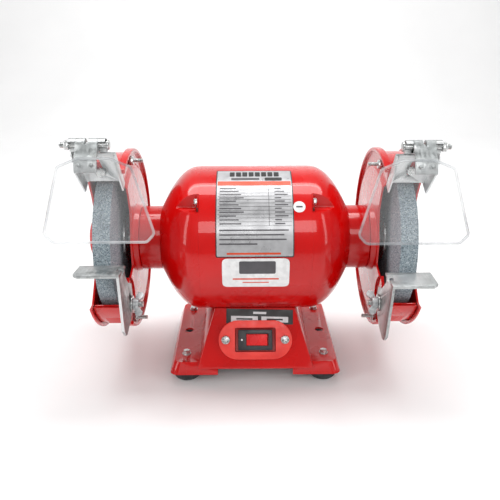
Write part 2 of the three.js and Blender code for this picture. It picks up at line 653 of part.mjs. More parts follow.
function restPlate() {
  const start = REST_LEG_FACE - REST_SHEET;
  const front = REST_BACK - REST_DEPTH;
  const corner = 4.5;
  const shape = shapeOf([
    [start, front], [REST_END - corner, front], [REST_END, front + corner], [REST_END, REST_BACK],
    [start, REST_BACK],
  ]);
  const geometry = new THREE.ExtrudeGeometry(shape, { depth: REST_SHEET, bevelEnabled: false });
  return toSolid(geometry.translate(0, 0, REST_TOP - REST_SHEET));
}

function toolRest() {
  const relief = block(5, 10, 6, [REST_LEG_FACE, REST_BACK - 11, REST_TOP - 1]);
  return joined([restLeg(), restPlate()]).subtract(restSlot()).subtract(relief);
}

function restWasher() {
  const start = REST_LEG_FACE - REST_SHEET - GAP - WASHER_THICKNESS;
  const end = start + WASHER_THICKNESS;
  return bar(WASHER_RADIUS, start, end, REST_PIVOT)
    .subtract(bar(REST_BOLT_RADIUS + RUNNING_CLEARANCE * 2, start - 1, end + 1, REST_PIVOT));
}

const wingNutFace = REST_LEG_FACE - REST_SHEET - 2 * GAP - WASHER_THICKNESS;

function restBolt() {
  const headFace = padInside + GAP;
  return joined([
    bar(REST_BOLT_RADIUS, wingNutFace - WING_HUB_HEIGHT - 4, headFace + 1, REST_PIVOT),
    hexBar(REST_BOLT_FLATS, headFace, headFace + REST_BOLT_HEAD, REST_PIVOT),
  ]);
}

// Two ears on a round hub; each ear leans outward, away from the leg.
function wingNut() {
  const hubEnd = wingNutFace - WING_HUB_HEIGHT;
  const hub = bar(WING_HUB_RADIUS, hubEnd, wingNutFace, REST_PIVOT);
  const ear = new THREE.Shape();
  ear.moveTo(2, 1);
  ear.lineTo(2, WING_HUB_HEIGHT - 1);
  ear.lineTo(WING_SPAN - 5, WING_REACH);
  ear.absarc(WING_SPAN - 4, WING_REACH - 3.5, 3.5, Math.PI * 0.6, -Math.PI * 0.35, true);
  ear.lineTo(WING_HUB_RADIUS, 1);
  const ears = [1, -1].map((side) => {
    const geometry = new THREE.ExtrudeGeometry(ear, {
      depth: WING_SHEET, bevelEnabled: false, curveSegments: 3,
    });
    geometry.translate(0, 0, -WING_SHEET / 2);
    geometry.rotateZ(Math.PI / 2);
    if (side < 0) {
      geometry.rotateX(Math.PI);
    }
    geometry.rotateX(radians(35));
    geometry.translate(wingNutFace, REST_PIVOT[0], REST_PIVOT[1]);
    return toSolid(geometry);
  });
  const bore = bar(REST_BOLT_RADIUS + GAP, hubEnd - 8, wingNutFace + 1, REST_PIVOT);
  return joined([hub, ...ears]).subtract(bore);
}

// A rest stands at its own height and tilt: it is slid and turned on its clamp bolt.
function settleRest(solid, { restSlide, restTilt }) {
  const lean = radians(REST_SLOT_LEAN);
  const forward = -restSlide * Math.sin(lean);
  const up = restSlide * Math.cos(lean);
  return solid.translate([0, -REST_PIVOT[0] + forward, -REST_PIVOT[1] + up])
    .rotate([restTilt, 0, 0])
    .translate([0, REST_PIVOT[0], REST_PIVOT[1]]);
}

function buildRest(hand, place, setting) {
  add(`tool_rest_${hand}`, place(settleRest(toolRest(), setting)), zinc());
  add(`rest_washer_${hand}`, place(restWasher()), zinc());
  add(`rest_bolt_${hand}`, place(restBolt()), zinc());
  add(`wing_nut_${hand}`, place(wingNut()), zinc());
}

// ---------------------------------------------------------------- spark deflector and eye shield

const deflectorBack = DEFLECTOR_FOOT[0] - DEFLECTOR_HEAD[0];
const deflectorRise = DEFLECTOR_HEAD[1] - DEFLECTOR_FOOT[1];
const deflectorTurn = Math.atan2(deflectorBack, deflectorRise);
const deflectorLength = Math.hypot(deflectorBack, deflectorRise);

// Lays a piece drawn in [along the shaft, up the deflector] on the deflector's leaning plane.
function layOnDeflector(geometry) {
  geometry.rotateX(Math.PI / 2 + deflectorTurn);
  geometry.translate(0, DEFLECTOR_FOOT[0], DEFLECTOR_FOOT[1]);
  return toSolid(geometry);
}

const slotLean = Math.atan2(DEFLECTOR_HIGH[1] - DEFLECTOR_LOW[1], deflectorLength);
const innerLean = Math.atan2(DEFLECTOR_HIGH[0] - DEFLECTOR_LOW[0], deflectorLength);
const slotFoot = [137.5, 9.0];    // the deflector bolt: along the shaft, up from the lower edge
const deflectorBoltEnd = 5.95;    // how far the bolt reaches behind the deflector's plane

function deflectorBlank() {
  const chamfer = 4;
  return shapeOf([
    [DEFLECTOR_LOW[0], -2], [DEFLECTOR_LOW[0] + chamfer, 0],
    [DEFLECTOR_LOW[1] - chamfer, 0], [DEFLECTOR_LOW[1], -2],
    [DEFLECTOR_HIGH[1], deflectorLength], [DEFLECTOR_HIGH[0], deflectorLength],
  ]);
}

function deflectorSlot() {
  const radius = DEFLECTOR_BOLT_RADIUS + GAP;
  const slot = new THREE.Shape();
  slot.absarc(0, 0, radius, Math.PI, Math.PI * 2);
  slot.absarc(0, DEFLECTOR_TRAVEL, radius, 0, Math.PI);
  const geometry = new THREE.ExtrudeGeometry(slot, { depth: 10, bevelEnabled: false, curveSegments: 6 });
  geometry.translate(0, 0, -5);
  geometry.rotateZ(-slotLean);
  geometry.translate(slotFoot[0], slotFoot[1], 0);
  return layOnDeflector(geometry);
}

function extrudedSheet(shape, thickness) {
  const geometry = new THREE.ExtrudeGeometry(shape, { depth: thickness, bevelEnabled: false });
  return geometry.translate(0, 0, -thickness / 2);
}

// A pointed cheek folded forward along the deflector's outer side.
function outerCheek() {
  const length = deflectorLength / Math.cos(slotLean);
  const geometry = extrudedSheet(shapeOf([
    [0, -2], [DEFLECTOR_CHEEK, -5], [DEFLECTOR_CHEEK + 1, length * 0.55], [5, length - 1], [0, length - 1],
  ]), DEFLECTOR_SHEET);
  geometry.rotateY(-Math.PI / 2);
  geometry.rotateZ(-slotLean);
  geometry.translate(DEFLECTOR_LOW[1] - DEFLECTOR_SHEET / 2, 0, 0);
  return layOnDeflector(geometry);
}

// A narrow stiffening fold along the inner side.
function innerFold() {
  const length = deflectorLength / Math.cos(innerLean);
  const geometry = extrudedSheet(shapeOf([
    [0, -2], [INNER_FOLD, -5], [INNER_FOLD, length * 0.5], [4, length - 1], [0, length - 1],
  ]), DEFLECTOR_SHEET);
  geometry.rotateY(-Math.PI / 2);
  geometry.rotateZ(-innerLean);
  geometry.translate(DEFLECTOR_LOW[0] + DEFLECTOR_SHEET / 2, 0, 0);
  return layOnDeflector(geometry);
}

const hingeEnds = [DEFLECTOR_HIGH[0] + HINGE_INSET, DEFLECTOR_HIGH[1]];
const lugWidth = 6.0;

// A loop of sheet round the hinge bolt, between two places along the shaft.
function hingeLoop(start, end) {
  return bar(HINGE_EYE_RADIUS, start, end, HINGE)
    .subtract(bar(HINGE_RADIUS + HINGE_CLEARANCE, start - 1, end + 1, HINGE));
}

function sparkDeflector() {
  const plate = layOnDeflector(extrudedSheet(deflectorBlank(), DEFLECTOR_SHEET));
  const loops = hingeEnds.map((end, index) => (index === 0
    ? hingeLoop(end, end + lugWidth) : hingeLoop(end - lugWidth, end)));
  const necks = hingeEnds.map((end, index) => {
    const start = index === 0 ? end : end - lugWidth;
    const outline = stripOutline([DEFLECTOR_HEAD[0], DEFLECTOR_HEAD[1] - 1.5],
      [HINGE[0] + HINGE_EYE_RADIUS - DEFLECTOR_SHEET / 2, HINGE[1] - 1], DEFLECTOR_SHEET);
    return sheet(outline, start, start + lugWidth);
  });
  const bore = bar(HINGE_RADIUS + HINGE_CLEARANCE, HINGE_HEAD, HINGE_TIP, HINGE);
  return joined([plate, outerCheek(), innerFold(), ...loops, ...necks])
    .subtract(deflectorSlot()).subtract(bore);
}

// The bolt that clamps the deflector's slot; it stands square to the deflector.
function deflectorBolt() {
  const seat = DEFLECTOR_SHEET / 2 + GAP;
  const length = deflectorBoltEnd + seat + 1;
  const shank = new THREE.CylinderGeometry(DEFLECTOR_BOLT_RADIUS, DEFLECTOR_BOLT_RADIUS, length, SMALL_ROUND);
  const head = new THREE.CylinderGeometry(circumradius(8), circumradius(8), 3.5, 6);
  shank.rotateX(Math.PI / 2);
  head.rotateX(Math.PI / 2);
  shank.translate(slotFoot[0], slotFoot[1], seat + 1 - length / 2);
  head.translate(slotFoot[0], slotFoot[1], seat + 1.75);
  return layOnDeflector(shank).add(layOnDeflector(head));
}

function hingeBolt() {
  const nutStartX = hingeEnds[1] + GAP;
  return joined([
    bar(HINGE_RADIUS, HINGE_HEAD + 1, HINGE_TIP, HINGE, 16),
    bar(HINGE_RADIUS + 1.8, hingeEnds[0] - GAP - 2.6, hingeEnds[0] - GAP, HINGE, 16),
    hexBar(8, nutStartX, nutStartX + 4, HINGE),
  ]);
}

const shieldLength = Math.hypot(SHIELD_TOP[0] - SHIELD_FOOT[0], SHIELD_TOP[1] - SHIELD_FOOT[1]);
const shieldLean = Math.atan2(SHIELD_TOP[0] - SHIELD_FOOT[0], SHIELD_TOP[1] - SHIELD_FOOT[1]);

// Lays a piece drawn in [along the shaft, up from the shield's foot] on the shield's plane.
function layOnShield(geometry) {
  geometry.rotateX(Math.PI / 2 - shieldLean);
  geometry.translate(0, SHIELD_FOOT[0], SHIELD_FOOT[1]);
  return toSolid(geometry);
}

function shieldShape() {
  const half = [
    [SHIELD_TOP_HALF, shieldLength, SHIELD_TOP_MIDDLE],
    [SHIELD_SHOULDER_HALF, shieldLength - SHIELD_SHOULDER_DROP, SHIELD_TOP_MIDDLE],
    [SHIELD_FOOT_HALF, SHIELD_CORNER, SHIELD_MIDDLE],
    [SHIELD_FOOT_HALF - 2, SHIELD_CORNER / 2, SHIELD_MIDDLE],
    [SHIELD_FOOT_HALF - SHIELD_CORNER, 0, SHIELD_MIDDLE],
  ];
  const left = half.map(([across, up, middle]) => [middle - across, up]);
  const right = half.map(([across, up, middle]) => [middle + across, up]).reverse();
  return shapeOf([...left, ...right]);
}

function eyeShield() {
  return layOnShield(extrudedSheet(shieldShape(), SHIELD_SHEET));
}

// The bracket: a leaf that lies on the back of the shield and curls round the hinge bolt.
function shieldBracket() {
  const middle = (hingeEnds[0] + hingeEnds[1]) / 2;
  const room = (hingeEnds[1] - hingeEnds[0]) / 2 - lugWidth - GAP;
  const half = Math.min(BRACKET_HALF, room);
  const back = -(SHIELD_SHEET + BRACKET_SHEET) / 2 - GAP;
  const toWorld = (up, out) => [
    SHIELD_FOOT[0] + up * Math.sin(shieldLean) - out * Math.cos(shieldLean),
    SHIELD_FOOT[1] + up * Math.cos(shieldLean) + out * Math.sin(shieldLean),
  ];
  const low = toWorld(shieldLength - BRACKET_LAP, back);
  const knee = toWorld(shieldLength + 1, back);
  const rise = [HINGE[0] - HINGE_EYE_RADIUS + BRACKET_SHEET, HINGE[1] + 1.2];
  const leaf = sheet(stripOutline(low, knee, BRACKET_SHEET), middle - half, middle + half);
  const armOutline = stripOutline([knee[0], knee[1] - 0.6], rise, BRACKET_SHEET);
  const arm = sheet(armOutline, middle - half, middle + half);
  const loops = [-1, 1].map((side) => {
    const inner = middle + side * 1.5;
    const outer = middle + side * half;
    return hingeLoop(Math.min(inner, outer), Math.max(inner, outer));
  });
  const bore = bar(HINGE_RADIUS + HINGE_CLEARANCE, HINGE_HEAD, HINGE_TIP, HINGE);
  return joined([leaf, arm, ...loops]).subtract(bore);
}

// The deflector group stands a little to one side with its tab, and slides down its slot.
function settleDeflector(solid, { deflectorDrop, deflectorShift }) {
  const drop = deflectorDrop / deflectorLength;
  return solid.translate([
    deflectorShift - (DEFLECTOR_HIGH[1] - DEFLECTOR_LOW[1]) * drop,
    deflectorBack * drop,
    -deflectorRise * drop,
  ]);
}

function buildShield(hand, place, setting) {
  const settled = (solid) => place(settleDeflector(solid, setting));
  add(`spark_deflector_${hand}`, settled(sparkDeflector()), zinc());
  add(`deflector_bolt_${hand}`, place(deflectorBolt().translate([setting.deflectorShift, 0, 0])), zinc());
  add(`shield_hinge_bolt_${hand}`, settled(hingeBolt()), zinc());
  add(`shield_bracket_${hand}`, settled(shieldBracket()), zinc());
  add(`eye_shield_${hand}`, settled(eyeShield()), clear());
}

// ---------------------------------------------------------------- base

const housingLean = Math.atan2(HOUSING_LOW[1] - HOUSING_HIGH[1], HOUSING_TOP - HOUSING_FOOT);

// The front or back slope of the housing, as a group whose +Z points out of the slope.
function slopeGroup(side, across, along) {
  const group = new THREE.Group();
  group.position.set(across, side * (HOUSING_LOW[1] - along * Math.sin(housingLean)),
    HOUSING_FOOT + along * Math.cos(housingLean));
  group.rotation.x = -side * (Math.PI / 2 - housingLean);
  machine.add(group);
  group.updateMatrixWorld(true);
  return group;
}

function onSlope(geometry, group) {
  return toSolid(geometry.clone().applyMatrix4(group.matrixWorld));
}

function skirtAndHousing(wall) {
  const lift = wall === 0 ? 0 : -1;
  const skirt = tapered([BASE_HALF_WIDTH - wall, BASE_HALF_DEPTH - wall],
    [BASE_HALF_WIDTH - BASE_DRAFT - wall, BASE_HALF_DEPTH - BASE_DRAFT - wall],
    BASE_EDGE + lift, WING_TOP - wall, BASE_CORNER / BASE_HALF_WIDTH);
  const housing = tapered([HOUSING_LOW[0] - wall, HOUSING_LOW[1] - wall * 1.15],
    [HOUSING_HIGH[0] - wall, HOUSING_HIGH[1] - wall * 1.15], HOUSING_FOOT, HOUSING_TOP, 0.02);
  return { skirt, housing };
}

function baseHousing(front, rear) {
  const outer = skirtAndHousing(0);
  const inner = skirtAndHousing(BASE_WALL);
  const motorRoom = bar(MOTOR_RADIUS + GAP, -VENT_END, VENT_END, [0, 0], BIG_ROUND);
  const notch = block(FRONT_NOTCH[0] * 2, BASE_HALF_DEPTH, FRONT_NOTCH[1] * 2,
    [0, -BASE_HALF_DEPTH, BASE_EDGE]);
  const upright = (radius, x, y) => {
    const geometry = new THREE.CylinderGeometry(radius, radius, 10, SMALL_ROUND);
    return toSolid(geometry.rotateX(Math.PI / 2).translate(x, y, WING_TOP - 1));
  };
  const holes = [-1, 1].flatMap((side) => [
    upright(BOLT_HOLE[1], side * BOLT_HOLE[0], 0),
    upright(FOOT_SCREW_HOLE, side * FOOT_PLACE[0], FOOT_PLACE[1]),
    upright(FOOT_SCREW_HOLE, side * FOOT_PLACE[0], -FOOT_PLACE[1]),
  ]);
  const switchHole = onSlope(new THREE.BoxGeometry(SWITCH_BODY[0] + 2, SWITCH_BODY[1] + 2, 20), front);
  const glandRadius = GLAND_THREAD + GAP;
  const glandHole = onSlope(new THREE.CylinderGeometry(glandRadius, glandRadius, 20, SMALL_ROUND)
    .rotateX(Math.PI / 2), rear);
  return cut(outer.skirt.add(outer.housing),
    [inner.skirt, inner.housing, motorRoom, notch, switchHole, glandHole, ...holes]);
}

const BOTTOM_PLATE = [60.0, 56.0, 1.5];      // half width, half depth, thickness

function bottomPlate() {
  const top = WING_TOP - BASE_WALL - GAP;
  return block(BOTTOM_PLATE[0] * 2, BOTTOM_PLATE[1] * 2, BOTTOM_PLATE[2], [0, 0, top - BOTTOM_PLATE[2] / 2]);
}

function rubberFoot(x, y) {
  const top = WING_TOP - BASE_WALL - GAP;
  const shoulder = FLOOR + FOOT_HEIGHT;
  const hole = FOOT_SCREW_HOLE - 0.2;
  const foot = turned([
    [hole, FLOOR + 4], [hole, top], [FOOT_NECK, top], [FOOT_NECK, shoulder], [FOOT_RADIUS, shoulder],
    [FOOT_RADIUS, FLOOR + 1.5], [FOOT_RADIUS - 1.5, FLOOR], [5.5, FLOOR], [5.5, FLOOR + 4],
  ], SMALL_ROUND, LATHE_ALONG_Z);
  return foot.translate([x, y, 0]);
}

function buildBase(front, rear) {
  add('base_housing', baseHousing(front, rear), paint());
  add('bottom_plate', bottomPlate(), zinc());
  [['front', -1], ['rear', 1]].forEach(([row, sideY]) => {
    [['left', -1], ['right', 1]].forEach(([hand, sideX]) => {
      add(`rubber_foot_${row}_${hand}`, rubberFoot(sideX * FOOT_PLACE[0], sideY * FOOT_PLACE[1]), rubber());
    });
  });
}

// ---------------------------------------------------------------- switch and wiring

function stadium(length, width) {
  const shape = new THREE.Shape();
  const half = (length - width) / 2;
  shape.moveTo(-half, -width / 2);
  shape.absarc(half, 0, width / 2, -Math.PI / 2, Math.PI / 2);
  shape.absarc(-half, 0, width / 2, Math.PI / 2, Math.PI * 1.5);
  return shape;
}

const plateBack = GAP;
const recessFloor = plateBack + SWITCH_PLATE[2] - SWITCH_RECESS[2];

function switchPlate() {
  const [length, width, thickness] = SWITCH_PLATE;
  const blank = new THREE.ExtrudeGeometry(stadium(length, width), {
    depth: thickness, bevelEnabled: false, curveSegments: 8,
  });
  const body = toSolid(blank.translate(0, 0, plateBack));
  const recess = block(SWITCH_RECESS[0], SWITCH_RECESS[1], 10, [0, 0, recessFloor + 5]);
  const hole = block(SWITCH_BODY[0] + 1, SWITCH_BODY[1] + 1, 20, [0, 0, 0]);
  const screws = [-1, 1].map((side) => {
    const drill = new THREE.CylinderGeometry(SWITCH_SCREW_RADIUS, SWITCH_SCREW_RADIUS, 20, 12);
    return toSolid(drill.rotateX(Math.PI / 2).translate(side * SWITCH_SCREW_PLACE, 0, 0));
  });
  return cut(body, [recess, hole, ...screws]);
}

const bezelBack = recessFloor + GAP;
const rockerPivot = bezelBack + BEZEL[2] - 3.2;

function switchBody() {
  const bezel = block(...BEZEL, [0, 0, bezelBack + BEZEL[2] / 2]);
  const well = block(...SWITCH_BODY, [0, 0, bezelBack - SWITCH_BODY[2] / 2 + 0.5]);
  const room = block(ROCKER[0] + 1.2, ROCKER[1] + 0.8, 24, [ROCKER_OFFSET, 0, rockerPivot + 12 - 8]);
  return bezel.add(well).subtract(room);
}

// The rocker: a shallow V on top, a round belly below, resting tipped to one side.
function switchRocker() {
  const half = ROCKER[0] / 2;
  const crown = 3.6;
  const rise = half * Math.tan(radians(ROCKER_TILT));
  const side = new THREE.Shape();
  side.moveTo(-half + 0.3, crown - 0.6 + rise);
  side.lineTo(0, crown);
  side.lineTo(half - 0.3, crown - 0.6 + rise);
  side.lineTo(half, 0);
  side.absarc(0, 0, half * 0.62, -0.3, -Math.PI + 0.3, true);
  side.lineTo(-half, 0);
  const geometry = new THREE.ExtrudeGeometry(side, {
    depth: ROCKER[1], bevelEnabled: false, curveSegments: 6,
  });
  geometry.translate(0, 0, -ROCKER[1] / 2);
  geometry.rotateX(Math.PI / 2);
  geometry.rotateY(radians(-ROCKER_TILT));
  geometry.translate(ROCKER_OFFSET, 0, rockerPivot);
  return toSolid(geometry);
}

function cableGland() {
  const hole = 3.8;
  return turned([
    [hole, -9], [GLAND_THREAD, -9], [GLAND_THREAD, GAP], [GLAND_THREAD + 3, GAP], [GLAND_THREAD + 3, 5],
    [GLAND_THREAD, 8], [6.2, 14], [hole, 15],
  ], SMALL_ROUND, LATHE_ALONG_Z);
}

function capacitor() {
  const radius = 13.0;
  const half = 27.0;
  return bar(radius, -half, half, [24, -94], MIDDLE_ROUND);
}

function terminalBlock() {
  const size = [26, 14, 11];
  const top = WING_TOP - BASE_WALL - GAP;
  const body = block(...size, [-28, -12, top + GAP + size[2] / 2]);
  const wells = [-8, 0, 8].map((shift) => block(4, 5, 6, [-28 + shift, -12, top + GAP + size[2]]));
  return cut(body, wells);
}

function buildSwitch(front, rear) {
  add('switch_plate', switchPlate(), coral(), front);
  add('switch_body', switchBody(), black(), front);
  add('switch_rocker', switchRocker(), red(), front);
  add('cable_gland', cableGland(), black(), rear);
  add('capacitor', capacitor(), cream());
  add('terminal_block', terminalBlock(), cream());
}

// ---------------------------------------------------------------- assembly

// The two sides of the machine are mirror images, set slightly differently by their owner.
const SIDES = [
  {
    hand: 'left',
    place: mirrored,
    boltAngles: [88, -58, 205],
    deflectorDrop: 0,
    deflectorShift: 0,
    restSlide: 7.5,
    restTilt: -6,
  },
  {
    hand: 'right',
    place: (solid) => solid,
    boltAngles: [79, -60, 205],
    deflectorDrop: 3,
    deflectorShift: 2.5,
    restSlide: 0,
    restTilt: 0,
  },
];

const frontSlope = slopeGroup(-1, 0, SWITCH_ALONG);
const rearSlope = slopeGroup(1, GLAND_PLACE[0], GLAND_PLACE[1]);

buildMotor();
buildShaftLine();
SIDES.forEach(({ hand, place, ...setting }) => {
  buildGuards(hand, place, setting);
  buildRest(hand, place, setting);
  buildShield(hand, place, setting);
});
buildBase(frontSlope, rearSlope);
buildSwitch(frontSlope, rearSlope);

// The origin is on the bench, under the middle of the machine's outline.
machine.updateMatrixWorld(true);
const outline = new THREE.Box3().setFromObject(machine, true);
machine.position.set(0, -(outline.min.y + outline.max.y) / 2, -FLOOR);

export default machine;
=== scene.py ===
"""A double-ended bench grinder: its finished surfaces and pieces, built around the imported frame.

Pieces are modelled in millimetres from the middle of the shaft, +X to the right, +Y to the back and
+Z up, and are put in place in metres when they are finished.
"""

import math

import bmesh
import bpy
from mathutils import Matrix, Vector


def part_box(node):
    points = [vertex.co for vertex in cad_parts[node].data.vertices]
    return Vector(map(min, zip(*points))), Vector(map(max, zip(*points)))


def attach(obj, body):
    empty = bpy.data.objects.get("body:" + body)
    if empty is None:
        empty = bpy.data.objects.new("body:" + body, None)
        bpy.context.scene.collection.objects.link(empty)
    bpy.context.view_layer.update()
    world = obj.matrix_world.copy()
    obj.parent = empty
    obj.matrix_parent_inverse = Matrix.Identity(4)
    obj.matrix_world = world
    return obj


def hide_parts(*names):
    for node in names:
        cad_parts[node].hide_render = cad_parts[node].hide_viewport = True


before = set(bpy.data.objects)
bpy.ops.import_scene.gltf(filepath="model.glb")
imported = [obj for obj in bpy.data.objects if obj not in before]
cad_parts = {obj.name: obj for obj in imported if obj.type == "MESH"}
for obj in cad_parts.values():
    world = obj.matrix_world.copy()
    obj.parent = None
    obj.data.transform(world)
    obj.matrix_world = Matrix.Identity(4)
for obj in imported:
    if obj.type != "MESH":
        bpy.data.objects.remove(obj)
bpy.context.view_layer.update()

MM = 0.001
FULL_TURN = 2 * math.pi
SIGN = {"left": -1, "right": 1, "front": -1, "rear": 1}     # of X for a hand, of Y for a row

# ---------------------------------------------------------------- sizes, in millimetres


def in_millimetres(node):
    """The box of a node of the frame, from the middle of the shaft."""
    low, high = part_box(node)
    return (low - SHAFT) / MM, (high - SHAFT) / MM


shaft_low, shaft_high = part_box("shaft")
SHAFT = (shaft_low + shaft_high) / 2


def span(node):
    """How near to the middle and how far from it a node reaches along the shaft."""
    low, high = in_millimetres(node)
    return sorted((abs(low.x), abs(high.x)))


MOTOR_RADIUS = 71.2
BARREL_HALF = 51.0
BELL_SEAM = 51.2                         # where a bell begins, against the barrel
NECK_RADIUS = 31.8
NECK_END = 111.0
BELL_WALL = 3.0
BELL_CURVE = [(71.2, 51.25), (70.9, 56.0), (70.3, 59.5), (69.0, 62.8), (67.2, 66.0), (64.6, 69.4),
              (61.2, 72.9), (57.2, 76.4), (53.0, 79.6), (48.2, 82.6), (43.4, 85.3), (39.2, 87.5),
              (35.8, 89.2), (33.4, 90.4), (NECK_RADIUS, 91.2), (NECK_RADIUS, 95.0)]
VENT_END = 76.0
VENT_BACK = 41.0
VENT_FLOOR = 45.0
VENT_WALL = 2.0

WHEEL_RADIUS = 75.0
WHEEL_FACES = (128.8, 144.8)
FLANGE_RADIUS = 24.0
FLANGE_THICKNESS = 4.5
SPINDLE_RADIUS = 6.35
SHAFT_HOLE_RADIUS = 9.5

GUARD_SHEET = 1.8
PLATE_FACE = 117.0
PLATE_GROOVE = 120.0
GROOVE_INNER = 75.0
BAND_RADIUS = 85.0
RIM_RADIUS = 88.8
RIM_START = 117.2
RIM_END = 124.3
COVER_FACE = 149.5
COVER_RIM_DEPTH = 2.5
COVER_BULGE = 10.0
COVER_BULGE_RADIUS = 18.0
COVER_BULGE_SLOPE = 6.0
MOUTH = [(-200, 84), (-38, 84), (-37, 69), (-30, 53), (-26, 36), (-30, 20), (-35.5, 6),
         (-35.5, -16), (-49, -20), (-65, -36), (-70, -40), (-200, -40)]
MOUTH_ROUND = 3.0
CUT_START = 100.0                        # where cuts through the guard begin, clear of its plate
TAB_NEAR = 126.0                         # the box that holds the deflector's tab, and no more
TAB_FRONT = -52.0
TAB_BACK = -33.6
TAB_FOOT = 66.0
LIP_TOP = (-70.0, -40.0)
LIP_BOTTOM = (-58.0, -65.0)
LIP_SHORT_END = 140.0
COVER_BOLT_CIRCLE = 80.0
COVER_BOLT_ANGLES = {"left": (88, -58, 205), "right": (79, -60, 205)}
REST_PIVOT = (-64.0, -42.0)
REST_PAD_RADIUS = 25.0
REST_LEG_FACE = 118.7
REST_SHEET = 2.4

WING_TOP = -107.8
FLOOR = -132.0
FOOT_PLACE = (68.8, 46.7)
FOOT_RADIUS = 13.0
FOOT_NECK = 8.0
FOOT_HEIGHT = 12.5

HOUSING_LOW_DEPTH = 68.0
HOUSING_HIGH_DEPTH = 38.4
HOUSING_FOOT = -112.0
HOUSING_TOP = -60.8
SWITCH_ALONG = 28.0
SWITCH_PLATE = (72.0, 38.0, 4.0)
SWITCH_RECESS = (40.0, 23.6, 2.4)
BEZEL = (33.5, 20.0, 2.6)
ROCKER = (20.7, 10.8)
ROCKER_OFFSET = 2.0
SWITCH_SCREW_PLACE = 29.0
GAP = 0.3

SHIELD_SHEET = 2.0
SHIELD_LENGTH = 73.6
SHIELD_LEAN_IN = 5.2                     # how far its top stands outward of its foot
SHIELD_CORNERS = [(48.5, 8.0), (32.5, 66.1), (14.0, 73.6)]   # half width and height up the sheet
SHIELD_FOOT_CORNER = (40.5, 0.0)
SHIELD_SLOPE = (27.0, 68.5)              # depth and height that its sheet runs through
CURL_RADIUS = 5.95

# ---------------------------------------------------------------- shaping


def turned(profile, steps=96, axis="X", closed=True):
    """Spins a profile of (radius, along) about the X or Z axis."""
    shape = bmesh.new()
    spot = (lambda r, a: (a, 0, r)) if axis == "X" else (lambda r, a: (r, 0, a))
    verts = [shape.verts.new(spot(radius, along)) for radius, along in profile]
    edges = [shape.edges.new(pair) for pair in zip(verts, verts[1:])]
    if closed:
        edges.append(shape.edges.new((verts[-1], verts[0])))
    bmesh.ops.spin(shape, geom=verts + edges, cent=(0, 0, 0), dvec=(0, 0, 0), use_merge=True,
                   axis=(1, 0, 0) if axis == "X" else (0, 0, 1), angle=FULL_TURN, steps=steps)
    bmesh.ops.remove_doubles(shape, verts=shape.verts, dist=1e-3)
    bmesh.ops.dissolve_degenerate(shape, dist=1e-4, edges=shape.edges)
    bmesh.ops.recalc_face_normals(shape, faces=shape.faces)
    return shape


def filleted(points, radius, segments=3, closed=True):
    """Rounds the corners of a profile; radius is one size, or one for each corner."""
    radii = radius if isinstance(radius, (list, tuple)) else [radius] * len(points)
    count = len(points)
    result = []
    for i, (point, size) in enumerate(zip(points, radii)):
        here = Vector(point)
        if size <= 0 or (not closed and i in (0, count - 1)):
            result.append(tuple(here))
            continue
        before = Vector(points[i - 1]) - here
        after = Vector(points[(i + 1) % count]) - here
        corner = before.angle(after, math.pi)
        if corner > math.radians(177):
            result.append(tuple(here))
            continue
        reach = min(size / math.tan(corner / 2), before.length * 0.45, after.length * 0.45)
        start, end = here + before.normalized() * reach, here + after.normalized() * reach
        for step in range(segments + 1):
            share = step / segments
            result.append(tuple((1 - share) ** 2 * start + 2 * share * (1 - share) * here
                                + share ** 2 * end))
    return result


def rounded(corners, segments=4, closed=True):
    """A profile of (radius, along, size of the corner's round)."""
    return filleted([(radius, along) for radius, along, _ in corners],
                    [size for _, _, size in corners], segments, closed)


def solid_turned(points, radius, segments=3, steps=32, axis="X"):
    """A turned piece with no hole: its profile starts and ends on the axis."""
    return turned(filleted(points, radius, segments, closed=False), steps, axis, closed=False)


def disc(radius, start, end, steps):
    """A plain round along X with sharp corners."""
    return turned([(0, start), (radius, start), (radius, end), (0, end)], steps, closed=False)


def raised(shape, faces, vec):
    """Draws faces out by vec."""
    grown = bmesh.ops.extrude_face_region(shape, geom=faces)
    fresh = [v for v in grown["geom"] if isinstance(v, bmesh.types.BMVert)]
    bmesh.ops.translate(shape, verts=fresh, vec=vec)


def drawn_out(outline, start, end, axis="X"):
    """Draws an outline out along X (outline in depth and height) or Z (outline in X and Y)."""
    shape = bmesh.new()
    along_x = axis == "X"
    face = shape.faces.new([shape.verts.new((start, a, b) if along_x else (a, b, start))
                            for a, b in outline])
    raised(shape, [face], (end - start, 0, 0) if along_x else (0, 0, end - start))
    bmesh.ops.recalc_face_normals(shape, faces=shape.faces)
    return shape


def block(size, centre):
    shape = bmesh.new()
    bmesh.ops.create_cube(shape, size=1)
    bmesh.ops.scale(shape, vec=size, verts=shape.verts)
    bmesh.ops.translate(shape, vec=centre, verts=shape.verts)
    return shape


def moved(shape, vec=None, matrix=None):
    if vec is not None:
        bmesh.ops.translate(shape, vec=vec, verts=shape.verts)
    if matrix is not None:
        bmesh.ops.transform(shape, matrix=matrix, verts=shape.verts)
    return shape


def mirrored(shape):
    bmesh.ops.scale(shape, vec=(-1, 1, 1), verts=shape.verts)
    bmesh.ops.reverse_faces(shape, faces=shape.faces)
    return shape


def sharp(edge, angle):
    """True where two faces meet at more than angle degrees."""
    return len(edge.link_faces) == 2 and edge.calc_face_angle(0) > math.radians(angle)


def bevelled(shape, edges, width, segments):
    bmesh.ops.bevel(shape, geom=edges, offset=width, offset_type="OFFSET", segments=segments,
                    profile=0.5, affect="EDGES", material=-1, clamp_overlap=True)
    return shape


def softened(shape, width, segments=2, angle=30):
    """Rounds every edge sharper than angle."""
    return bevelled(shape, [edge for edge in shape.edges if sharp(edge, angle)], width, segments)


